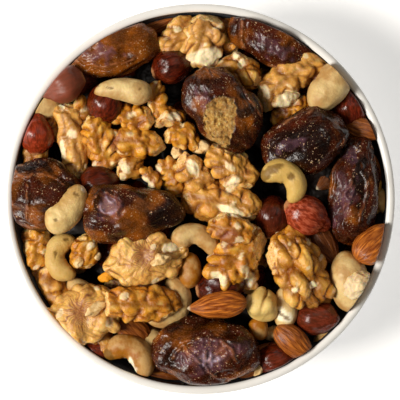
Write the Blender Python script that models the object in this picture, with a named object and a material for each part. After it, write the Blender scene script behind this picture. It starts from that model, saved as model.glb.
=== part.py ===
"""Bowl of trail mix: dates, walnuts, cashews, hazelnuts and almonds heaped in a shallow bowl.

Lengths in the constants and in HEAP are millimetres, and MM turns them into metres. +Z is up, and
the origin is the centre of the bowl's foot.
"""

import math
from collections import namedtuple

import bmesh
import bpy
import numpy as np

MM = 0.001

# Bowl
RIM_RADIUS = 78.5
WALL = 3.5
BOWL_HEIGHT = 48.0
INSIDE_DEPTH = 41.0
FOOT_RADIUS = 40.0
FOOT_WIDTH = 4.0
FOOT_RECESS = 2.5
BOWL_SEGMENTS = 48
WALL_STEPS = 9

# Core that the pieces lie on
CLEARANCE = 0.6
CORE_TOP = 50.0
CORE_DROP = 11.0
CORE_RADIUS = 75.0
CORE_SEGMENTS = 32

# Dark gaps between the pieces, where the core is scooped out: middle and radius seen from above
GAPS = [
    (-44, -32, 6.5),
    (26, 4, 6.5),
    (50, 4, 6.5),
    (-58, -38, 5.5),
    (-24, 52, 5.5),
    (-52, -34, 5.0),
    (22, 18, 5.0),
    (-10, 46, 5.0),
    (18, -50, 5.0),
    (29, -32, 5.0),
    (35, 4, 4.5),
    (0, 20, 5.0),
    (-4, -8, 4.5),
    (-62, 18, 4.5),
    (2, -25, 4.5),
    (-20, 16, 4.5),
    (-10, 18, 4.5),
]

# Pieces that lie deeper or higher than they would settle, by where they lie across the bowl
LIFT = {
    -11.5: -2.5,
    -42.2: -2.5,
    30.4: -3.5,
    9.0: -3.0,
    7.3: 1.5,
    66.1: 2.5,
    -66.3: 3.0,
}
GAP_DEPTH = 7.0
GAP_SIDES_RINGS = (6, 4)

# How the pieces settle: share of a piece's underside that meets what is below, how far it then
# sinks, how high its middle may come above the core, and how far a piece gives against the wall
GRID_CELL = 1.0
BEDDING = 0.7
SUNK = 1.5
MOST_ABOVE_CORE = 14.0
GIVE = 3.0

Date = namedtuple("Date", "x y long wide turn")
Hazelnut = namedtuple("Hazelnut", "x y long wide turn")
Almond = namedtuple("Almond", "x y long wide turn")
Walnut = namedtuple("Walnut", "x y long wide turn lobes seed")
Cashew = namedtuple("Cashew", "x y ring head tail sweep turn")

# Thickness of a piece over its width, and the sides and rings of its solid
THICKNESS = {Date: 0.82, Hazelnut: 1.0, Almond: 0.66, Walnut: 0.72}
SIDES_RINGS = {Date: (8, 7), Hazelnut: (7, 5), Almond: (6, 5), Walnut: (8, 5), Cashew: (6, 7)}
SMALL_WALNUT = 16.0
SMALL_SIDES_RINGS = (6, 4)

# The heap, from its bottom layer to its top one. x and y are the middle of a piece seen from above,
# or the centre that a cashew curls round. turn is in degrees, anticlockwise from +X.
HEAP = [
    Hazelnut(-50.2, 50.0, 13.4, 12.6, 0),
    Hazelnut(-39.3, 40.3, 16.8, 15.5, 60),
    Hazelnut(-11.5, 55.9, 16.0, 14.7, 20),
    Hazelnut(64.0, 38.2, 16.8, 15.1, 100),
    Hazelnut(-42.2, 6.3, 17.6, 15.1, 15),
    Hazelnut(30.4, -7.1, 16.8, 15.5, 80),
    Hazelnut(9.0, -36.5, 20.2, 16.8, 10),
    Hazelnut(32.5, -67.6, 17.6, 15.1, 20),
    Hazelnut(-43.5, -64.7, 13.4, 11.8, 140),
    Almond(52.3, -18.5, 22.7, 11.3, -58),
    Almond(69.9, 29.0, 17.6, 9.2, -15),
    Almond(-17.4, 75.2, 19.3, 9.2, 18),
    Almond(-16.6, -74.8, 20.2, 9.7, -12),
    Walnut(17.0, 53.3, 21.8, 16.0, -35, 7, 11),
    Walnut(-49.8, 34.9, 17.6, 8.4, 100, 5, 14),
    Walnut(-61.1, 30.7, 13.4, 8.4, 85, 5, 15),
    Walnut(38.9, 37.8, 20.2, 9.2, 25, 6, 16),
    Walnut(-73.3, -18.5, 15.1, 7.6, 78, 5, 17),
    Walnut(-67.8, -34.0, 16.0, 9.2, -60, 5, 18),
    Walnut(-48.5, -22.3, 15.1, 11.8, 75, 6, 19),
    Walnut(44.7, -18.9, 11.8, 8.4, -50, 5, 21),
    Walnut(21.2, -32.8, 15.1, 8.0, 80, 5, 22),
    Walnut(13.7, 65.9, 12.6, 7.6, 75, 5, 25),
    Cashew(6.1, -29.8, 10.1, 5.0, 4.6, 80, 180),
    Cashew(-64.9, 50.0, 10.1, 5.9, 5.0, 70, 270),
    Cashew(79.2, -10.9, 10.1, 5.0, 5.0, 60, 95),
    Cashew(61.1, -63.4, 9.2, 5.0, 4.6, 70, 140),
    Cashew(1.5, -88.6, 10.1, 4.6, 4.2, 60, 95),
    Date(-36.8, 62.6, 39.5, 23.5, 15),
    Date(-66.1, 1.3, 35.3, 30.2, -10),
    Date(29.6, 67.6, 38.6, 21.8, -25),
    Date(9.9, 37.4, 40.3, 27.7, -52),
    Date(43.5, 23.5, 37.8, 27.7, 28),
    Date(-27.5, -5.9, 44.5, 27.7, 3),
    Date(2.7, -63.8, 44.5, 29.4, -2),
    Date(64.9, 3.8, 47.0, 22.7, 84),
    Cashew(77.5, -32.3, 15.1, 8.4, 8.0, 95, 190),
    Cashew(46.4, -37.4, 5.5, 5.0, 4.6, 200, 275),
    Cashew(-16.6, -41.6, 8.0, 5.5, 5.0, 200, -30),
    Almond(-26.2, -56.7, 23.5, 11.3, -42),
    Hazelnut(49.4, -50.0, 18.5, 14.3, -10),
    Hazelnut(-56.9, 47.9, 16.8, 16.0, 200),
    Hazelnut(-68.7, 27.3, 16.0, 15.1, 90),
    Cashew(13.7, -54.2, 11.3, 4.6, 3.4, 50, 0),
    Cashew(24.6, -45.8, 11.8, 4.6, 5.0, 85, 0),
    Cashew(-54.6, -24.4, 6.6, 4.8, 4.3, 225, 180),
    Cashew(-66.3, 6.5, 16.0, 4.8, 8.2, 82, -42),
    Walnut(-68.2, -20.6, 18.5, 10.9, 80, 7, 31),
    Walnut(-41.4, 23.5, 26.9, 13.9, -70, 10, 32),
    Walnut(-9.4, 67.6, 22.7, 14.3, 58, 8, 33),
    Walnut(1.5, 66.8, 24.4, 18.5, 82, 9, 34),
    Walnut(38.4, 50.8, 37.0, 14.7, 37, 12, 35),
    Walnut(35.9, 42.0, 12.6, 6.3, 20, 4, 36),
    Cashew(40.5, 58.4, 18.5, 7.6, 7.1, 75, -38),
    Walnut(-19.9, 8.8, 12.6, 6.3, -55, 4, 37),
    Walnut(-29.2, 13.4, 12.6, 10.5, 48, 5, 38),
    Walnut(-28.3, 34.9, 19.7, 11.8, -12, 7, 39),
    Walnut(-26.2, 23.5, 25.2, 12.2, -4, 8, 40),
    Walnut(-12.0, 34.0, 13.4, 8.4, 10, 5, 41),
    Walnut(-17.4, 41.2, 17.6, 9.7, 98, 6, 42),
    Walnut(-7.3, 26.0, 15.1, 11.3, -15, 5, 43),
    Walnut(-54.0, 24.4, 36.1, 11.8, 99, 10, 44),
    Cashew(-34.2, 20.6, 25.2, 6.3, 3.4, -55, 85),
    Walnut(-11.5, 8.8, 18.5, 10.5, -62, 7, 45),
    Walnut(-48.1, -48.7, 37.8, 26.0, 22, 16, 46),
    Walnut(-24.1, -43.7, 34.4, 15.1, -2, 12, 47),
    Walnut(-22.9, -25.2, 37.0, 22.7, 8, 16, 48),
    Cashew(-2.3, -21.4, 7.1, 5.0, 4.2, 200, 82),
    Walnut(15.8, -23.5, 30.2, 19.3, 48, 12, 49),
    Walnut(41.4, -29.4, 37.0, 25.2, -63, 16, 50),
    Walnut(-2.3, 10.9, 19.3, 12.6, -48, 7, 51),
    Walnut(13.2, 13.0, 24.4, 15.1, -42, 10, 52),
    Walnut(13.7, -12.2, 21.0, 11.8, -8, 8, 53),
    Walnut(9.0, -1.7, 34.4, 17.6, -12, 14, 54),
    Cashew(33.8, 5.3, 6.4, 5.3, 4.5, 230, 50),
    Hazelnut(44.7, -6.7, 19.3, 16.0, -28),
    Almond(7.3, -44.1, 25.2, 10.9, 186),
    Almond(73.7, -18.1, 21.8, 14.3, 42),
    Almond(40.1, -60.5, 21.0, 11.3, -42),
    Hazelnut(26.2, -44.1, 14.3, 13.4, 80),
    Walnut(66.1, -35.7, 13.4, 11.8, 50, 5, 55),
    Cashew(-31.0, -69.0, 7.4, 4.8, 5.8, 215, 64),
]


def wall_radius(height, inset=0.0):
    """Radius of the bowl's inner wall at a height, taken in by inset, and of the rim above it."""
    down = (BOWL_HEIGHT - np.asarray(height, float)) / (INSIDE_DEPTH - inset)
    return (RIM_RADIUS - inset) * np.sqrt(1.0 - np.clip(down, 0.0, 0.98) ** 2)


def wall_height(radius, inset=0.0):
    """Height of the bowl's inner wall at a radius, taken in by inset."""
    out = np.clip(np.asarray(radius, float) / (RIM_RADIUS - inset), 0.0, 1.0)
    return BOWL_HEIGHT - (INSIDE_DEPTH - inset) * np.sqrt(1.0 - out * out)


def core_height(radius):
    """Top of the core, a low dome."""
    return CORE_TOP - CORE_DROP * (np.asarray(radius, float) / CORE_RADIUS) ** 2


def mesh_object(name, points, faces):
    """A mesh object from points in millimetres."""
    mesh = bpy.data.meshes.new(name)
    mesh.from_pydata([tuple(float(c) * MM for c in p) for p in points], [], faces)
    mesh.validate()
    obj = bpy.data.objects.new(name, mesh)
    bpy.context.scene.collection.objects.link(obj)
    return obj


def lathe(name, profile, segments):
    """Turns a profile of (radius, height) pairs round Z; it starts and ends on the axis."""
    mesh = bmesh.new()
    outline = [mesh.verts.new((r * MM, 0.0, z * MM)) for r, z in profile]
    edges = [mesh.edges.new(pair) for pair in zip(outline, outline[1:])]
    bmesh.ops.spin(
        mesh,
        geom=outline + edges,
        cent=(0, 0, 0),
        axis=(0, 0, 1),
        angle=2 * math.pi,
        steps=segments,
        use_merge=True,
    )
    bmesh.ops.remove_doubles(mesh, verts=mesh.verts, dist=0.01 * MM)
    bmesh.ops.recalc_face_normals(mesh, faces=mesh.faces)
    made = bpy.data.meshes.new(name)
    mesh.to_mesh(made)
    mesh.free()
    obj = bpy.data.objects.new(name, made)
    bpy.context.scene.collection.objects.link(obj)
    return obj


def quarter(radius, depth, low, steps):
    """(radius, height) pairs up a quarter of an ellipse, from the height low to the rim."""
    start = math.asin((BOWL_HEIGHT - low) / depth)
    angles = [start * (1 - i / steps) for i in range(steps + 1)]
    return [(radius * math.cos(a), BOWL_HEIGHT - depth * math.sin(a)) for a in angles]


def make_bowl():
    inside = quarter(RIM_RADIUS, INSIDE_DEPTH, BOWL_HEIGHT - INSIDE_DEPTH, WALL_STEPS)
    inside[0] = (0.0, BOWL_HEIGHT - INSIDE_DEPTH)
    outer_radius, outer_depth = RIM_RADIUS + WALL, INSIDE_DEPTH + WALL
    foot_top = BOWL_HEIGHT - outer_depth * math.sqrt(1 - (FOOT_RADIUS / outer_radius) ** 2)
    outside = quarter(outer_radius, outer_depth, foot_top, WALL_STEPS - 3)
    rim = [
        (RIM_RADIUS + 0.5 * WALL * (1 - math.cos(a)), BOWL_HEIGHT + 0.4 * WALL * math.sin(a))
        for a in (math.pi / 4, math.pi / 2, 3 * math.pi / 4)
    ]
    foot = [
        (FOOT_RADIUS, 0.6),
        (FOOT_RADIUS - 0.6, 0.0),
        (FOOT_RADIUS - FOOT_WIDTH, 0.0),
        (FOOT_RADIUS - FOOT_WIDTH - 1.0, FOOT_RECESS),
        (0.0, FOOT_RECESS),
    ]
    return lathe("bowl", inside + rim + outside[::-1] + foot, BOWL_SEGMENTS)


def make_core():
    """The hidden middle of the heap: the bowl's inside up to a low dome."""
    low = BOWL_HEIGHT - INSIDE_DEPTH + CLEARANCE
    under = quarter(RIM_RADIUS - CLEARANCE, INSIDE_DEPTH - CLEARANCE, low, WALL_STEPS)
    under = [(0.0, low)] + [(r, z) for r, z in under[1:] if r < CORE_RADIUS - 2.0]
    edge = (CORE_RADIUS, float(wall_height(CORE_RADIUS, CLEARANCE)))
    top = [(r, float(core_height(r))) for r in (CORE_RADIUS, 54.0, 27.0, 0.0)]
    return lathe("trail_mix", under + [edge] + top, CORE_SEGMENTS)


def make_scoops():
    """One closed solid for each gap, in a collection of their own."""
    scoops = bpy.data.collections.new("scoops")
    bpy.context.scene.collection.children.link(scoops)
    globe_points, faces = globe(*GAP_SIDES_RINGS)
    along, phi, share = globe_points.T
    for number, (x, y, radius) in enumerate(GAPS):
        height = float(core_height(math.hypot(x, y)))
        points = np.stack(
            [
                x + radius * share * np.cos(phi),
                y + radius * share * np.sin(phi),
                height + GAP_DEPTH * along,
            ],
            axis=1,
        )
        obj = mesh_object(f"scoop_{number:02d}", points, faces)
        bpy.context.scene.collection.objects.unlink(obj)
        scoops.objects.link(obj)
    return scoops


def globe(sides, rings):
    """Points on a closed form with its ends at -X and +X, as (along, angle round, share of full
    radius), and its faces."""
    points = [(-1.0, 0.0, 0.0)]
    for i in range(1, rings):
        polar = math.pi * i / rings
        for j in range(sides):
            points.append((-math.cos(polar), 2 * math.pi * (j + 0.5 * (i % 2)) / sides, math.sin(polar)))
    points.append((1.0, 0.0, 0.0))
    last = len(points) - 1
    faces = [(0, 1 + (j + 1) % sides, 1 + j) for j in range(sides)]
    for i in range(rings - 2):
        a = 1 + i * sides
        b = a + sides
        for j in range(sides):
            k = (j + 1) % sides
            if i % 2:
                faces += [(a + j, a + k, b + j), (a + k, b + k, b + j)]
            else:
                faces += [(a + j, a + k, b + k), (a + j, b + k, b + j)]
    faces += [(last, last - sides + j, last - sides + (j + 1) % sides) for j in range(sides)]
    return np.array(points), faces


def lobe_centres(lobes, seed):
    """Unit directions of a walnut's lobes, spread evenly and then shaken."""
    rng = np.random.RandomState(seed)
    count = np.arange(lobes) + 0.5
    up = 1 - 2 * count / lobes
    spiral = math.pi * (1 + 5**0.5) * count
    flat = np.sqrt(1 - up * up)
    found = np.stack([flat * np.cos(spiral), flat * np.sin(spiral), up], axis=1)
    found += rng.uniform(-0.25, 0.25, found.shape)
    return found / np.linalg.norm(found, axis=1, keepdims=True)


def walnut_swell(directions, lobes, seed):
    """How far out a walnut's surface lies in each direction: the outermost of its lobes."""
    reach, size = 0.56, 1.0 / math.sqrt(lobes) + 0.2
    along = directions @ lobe_centres(lobes, seed).T * reach
    inside = along**2 - reach**2 + size**2
    lobe = np.where(inside > 0, along + np.sqrt(np.maximum(inside, 0)), 0)
    return np.maximum(0.84, lobe.max(axis=1))


def form(nut):
    """Points and faces of one piece lying flat at the origin, its long side along X."""
    kind = type(nut)
    sides, rings = SIDES_RINGS[kind]
    if kind is Walnut and nut.long < SMALL_WALNUT:
        sides, rings = SMALL_SIDES_RINGS
    globe_points, faces = globe(sides, rings)
    u, phi, share = globe_points.T
    across, up = np.cos(phi), np.sin(phi)
    if kind is Cashew:
        return curl(nut, u, across, up), faces
    if kind is Date:
        swell = share**0.8 * (1 + 0.05 * np.cos(3 * phi + 2 * u) + 0.04 * np.sin(5 * phi - 3 * u + nut.x))
    elif kind is Hazelnut:
        swell = share * (1 - 0.14 * u)
    elif kind is Almond:
        swell = (1 - u) ** 0.8 * (1 + u) ** 0.5
    else:
        directions = np.stack([u, share * across, share * up], axis=1)
        swell = walnut_swell(directions, nut.lobes, nut.seed)
        u, swell = u * swell, share * swell
    thick = nut.wide * THICKNESS[kind]
    points = np.stack([u * nut.long, swell * across * nut.wide, swell * up * thick], axis=1) / 2
    return points, faces


def curl(nut, u, across, up):
    """A cashew: a tapered tube with round ends, bent round the origin."""
    radius = (nut.head * (1 - u) + nut.tail * (1 + u)) / 2
    radius = radius * np.sqrt(np.maximum(0, 1 - np.abs(u) ** 3.5))
    angle = -np.radians(nut.sweep) / 2 * u
    out = nut.ring + radius * across
    return np.stack([out * np.cos(angle), out * np.sin(angle), radius * up * 0.92], axis=1)


def turned(points, nut):
    """The points turned about Z to the piece's heading and moved to its place."""
    c, s = math.cos(math.radians(nut.turn)), math.sin(math.radians(nut.turn))
    x, y, z = points.T
    return np.stack([nut.x + x * c - y * s, nut.y + x * s + y * c, z], axis=1)


def pressed(points):
    """The points with those near the wall moved in, as pieces are pushed up against the bowl."""
    x, y, z = points.T
    radius = np.hypot(x, y)
    start = wall_radius(z, CLEARANCE) - GIVE
    squeezed = start + GIVE * np.tanh((radius - start) / GIVE)
    share = np.where(radius > start, squeezed / np.maximum(radius, 1e-6), 1.0)
    return np.stack([x * share, y * share, z], axis=1)


def half_height(nut, x, y):
    """Half the thickness of a piece over each (x, y), and NaN outside it."""
    if type(nut) is Cashew:
        u = np.linspace(-0.85, 0.85, 9)
        radius = (nut.head * (1 - u) + nut.tail * (1 + u)) / 2
        angle = np.radians(nut.turn - nut.sweep / 2 * u)
        beads = zip(nut.x + nut.ring * np.cos(angle), nut.y + nut.ring * np.sin(angle), radius)
        room = [r * r - (x - a) ** 2 - (y - b) ** 2 for a, b, r in beads]
        found = np.max(room, axis=0)
        return np.where(found > 0, np.sqrt(np.maximum(found, 0)), np.nan)
    c, s = math.cos(math.radians(nut.turn)), math.sin(math.radians(nut.turn))
    along = ((x - nut.x) * c + (y - nut.y) * s) / (nut.long / 2)
    over = ((y - nut.y) * c - (x - nut.x) * s) / (nut.wide / 2)
    found = 1 - along**2 - over**2
    thick = nut.wide * THICKNESS[type(nut)] / 2
    return np.where(found > 0, thick * np.sqrt(np.maximum(found, 0)), np.nan)


def settle(heap):
    """Height of each piece's middle, laid one after another on what is already there.

    A piece comes down until most of its underside has met what is below, so neighbours bed into
    each other as they do in a heap that has been shaken down."""
    steps = np.arange(-RIM_RADIUS, RIM_RADIUS + GRID_CELL, GRID_CELL)
    x, y = np.meshgrid(steps, steps)
    radius = np.hypot(x, y)
    ground = core_height(radius)
    heights = []
    for nut in heap:
        rise = half_height(nut, x, y)
        under = np.isfinite(rise) & (radius < CORE_RADIUS)
        height = float(np.quantile((ground + rise)[under], BEDDING)) - SUNK
        height = min(height, float(core_height(math.hypot(nut.x, nut.y))) + MOST_ABOVE_CORE)
        ground = np.fmax(ground, height + rise)
        heights.append(height)
    return heights


def place_pieces(heap, heights):
    """One closed solid for each piece, in a collection of their own."""
    pieces = bpy.data.collections.new("pieces")
    bpy.context.scene.collection.children.link(pieces)
    for number, (nut, height) in enumerate(zip(heap, heights)):
        points, faces = form(nut)
        points = turned(points, nut)
        points[:, 2] += height + LIFT.get(nut.x, 0.0)
        obj = mesh_object(f"piece_{number:02d}", pressed(points), faces)
        bpy.context.scene.collection.objects.unlink(obj)
        pieces.objects.link(obj)
    return pieces


def combine(obj, collection, operation):
    """Applies one Boolean of obj with every object of a collection, and removes the collection."""
    modifier = obj.modifiers.new("combine", "BOOLEAN")
    modifier.operation = operation
    modifier.solver = "MANIFOLD"
    modifier.operand_type = "COLLECTION"
    modifier.collection = collection
    graph = bpy.context.evaluated_depsgraph_get()
    mesh = bpy.data.meshes.new_from_object(obj.evaluated_get(graph), depsgraph=graph)
    obj.modifiers.remove(modifier)
    obj.data = mesh
    for used in list(collection.objects):
        bpy.data.objects.remove(used)
    bpy.data.collections.remove(collection)


def shells(mesh):
    """The mesh's separate shells, as lists of faces."""
    left = set(mesh.faces)
    found = []
    while left:
        shell, edge = [], [left.pop()]
        while edge:
            face = edge.pop()
            shell.append(face)
            near = {f for e in face.edges for f in e.link_faces} & left
            left -= near
            edge += near
        found.append(shell)
    return found


def shell_volume(shell):
    """Signed volume of a closed shell, in cubic millimetres."""
    total = 0.0
    for face in shell:
        first = face.verts[0].co
        for a, b in zip(face.verts[1:], face.verts[2:]):
            total += first.dot(a.co.cross(b.co)) / 6
    return total / MM**3


def keep_whole_shell(obj):
    """Fills the hollows that fusing sealed and drops loose scraps."""
    mesh = bmesh.new()
    mesh.from_mesh(obj.data)
    bmesh.ops.triangulate(mesh, faces=mesh.faces)
    volumes = [(shell_volume(s), s) for s in shells(mesh)]
    largest = max(v for v, _ in volumes)
    spare = [f for v, s in volumes if v < largest for f in s]
    bmesh.ops.delete(mesh, geom=spare, context="FACES")
    bmesh.ops.delete(mesh, geom=[v for v in mesh.verts if not v.link_faces], context="VERTS")
    mesh.to_mesh(obj.data)
    mesh.free()


def make_heap():
    core = make_core()
    combine(core, make_scoops(), "DIFFERENCE")
    combine(core, place_pieces(HEAP, settle(HEAP)), "UNION")
    keep_whole_shell(core)
    return core


def finish(obj, name, colour, roughness, smooth_angle):
    """Gives obj its material and its shading."""
    material = bpy.data.materials.new(name)
    material.use_nodes = True
    shader = material.node_tree.nodes["Principled BSDF"]
    shader.inputs["Base Color"].default_value = (*colour, 1.0)
    shader.inputs["Roughness"].default_value = roughness
    obj.data.materials.clear()
    obj.data.materials.append(material)
    obj.data.shade_smooth()
    obj.data.set_sharp_from_angle(angle=math.radians(smooth_angle))


def main():
    for obj in list(bpy.data.objects):
        bpy.data.objects.remove(obj)
    finish(make_bowl(), "white glaze", (0.80, 0.79, 0.76), 0.25, 40)
    finish(make_heap(), "nuts and dates", (0.45, 0.25, 0.10), 0.5, 50)


main()
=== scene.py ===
"""A shallow glazed bowl heaped with dates, walnuts, cashews, hazelnuts and almonds.

Forms are worked out in millimetres, as numpy arrays, and become one mesh for each kind of food.
"""

import math
from collections import namedtuple

import bpy
import numpy as np
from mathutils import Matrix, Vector

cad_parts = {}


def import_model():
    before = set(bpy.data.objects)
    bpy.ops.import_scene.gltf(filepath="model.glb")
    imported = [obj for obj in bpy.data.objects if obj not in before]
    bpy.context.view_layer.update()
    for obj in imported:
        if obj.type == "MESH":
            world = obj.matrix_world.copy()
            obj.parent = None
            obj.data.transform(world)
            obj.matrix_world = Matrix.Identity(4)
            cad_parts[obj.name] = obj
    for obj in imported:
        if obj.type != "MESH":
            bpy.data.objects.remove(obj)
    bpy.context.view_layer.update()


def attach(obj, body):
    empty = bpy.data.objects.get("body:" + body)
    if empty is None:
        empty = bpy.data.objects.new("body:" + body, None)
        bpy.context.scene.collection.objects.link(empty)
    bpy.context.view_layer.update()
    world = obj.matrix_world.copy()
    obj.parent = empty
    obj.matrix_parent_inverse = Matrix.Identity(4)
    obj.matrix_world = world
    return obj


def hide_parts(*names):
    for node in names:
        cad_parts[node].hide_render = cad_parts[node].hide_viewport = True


MM = 0.001

# Bowl
RIM_RADIUS = 78.5
WALL = 3.5
BOWL_HEIGHT = 48.0
INSIDE_DEPTH = 41.0
FOOT_RADIUS = 40.0
FOOT_WIDTH = 4.0
FOOT_RECESS = 2.5

# Heap
CLEARANCE = 0.4
CORE_TOP = 50.0
CORE_DROP = 11.0
CORE_RADIUS = 75.0
GAP_DEPTH = 7.0
GRID_CELL = 1.0
BEDDING = 0.7
SUNK = 1.5
MOST_ABOVE_CORE = 14.0
GIVE = 1.6
CORE_SINK = 7.0
CORE_INSET = 2.5
CORE_MARGIN = 9
FILLING_SINK = 10.5
FILLING_CIRCLE = 70
COLUMN_STEP = 13.0
ROW_STEP = 11.5
COARSER_BELOW = 2.2
EDGE_NUTS = 26
EDGE_CIRCLE = 72.0
EDGE_HEIGHT = 42.8
CRUMB_FACET = 0.5
CRUMB_SIDES = 17
BOWL_SIDES = 192
CORE_SIDES = 128

# Seeds of the random draws
CORE_SEED = 5
FILLING_SEED = 77
HEAP_SEED = 1000
CRUMB_SEED = 3000

# Lights: name, place in metres, size, power and tint
LIGHTS = [
    ("window", (-1.58, -0.28, 1.78), 0.8, 70.0, (1.0, 0.95, 0.88)),
    ("fill", (0.5, 0.9, 1.6), 1.2, 2.5, (1.0, 0.94, 0.84)),
]
CAMERA_FAR = 1.0
CAMERA_ASIDE = (0.0002, -0.0004)
PICTURE_SIDE = 400
BOWL_IN_PICTURE = 374

Date = namedtuple("Date", "x y long wide turn")
Hazelnut = namedtuple("Hazelnut", "x y long wide turn tone", defaults=[0.5])
Skinned = namedtuple("Skinned", "x y long wide turn")
Almond = namedtuple("Almond", "x y long wide turn tone", defaults=[0.5])
Walnut = namedtuple("Walnut", "x y long wide turn seed")
Cashew = namedtuple("Cashew", "x y ring head tail sweep turn tone", defaults=[0.4])

# For each kind: thickness over width, side of a facet in millimetres, tilt in degrees, and name of the mesh
THICKNESS = {Date: 0.82, Hazelnut: 1.0, Skinned: 1.0, Almond: 0.66, Walnut: 0.72}
FACET = {Date: 0.58, Walnut: 0.5, Cashew: 0.62, Hazelnut: 0.7, Skinned: 0.49, Almond: 0.55}
TILT = {Date: 4, Hazelnut: 25, Skinned: 0, Almond: 12, Walnut: 9, Cashew: 9}
PIECES = {
    Date: "dates",
    Hazelnut: "hazelnuts",
    Skinned: "skinned_hazelnut",
    Almond: "almonds",
    Cashew: "cashews",
}
LARGE_WALNUT = 30

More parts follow.
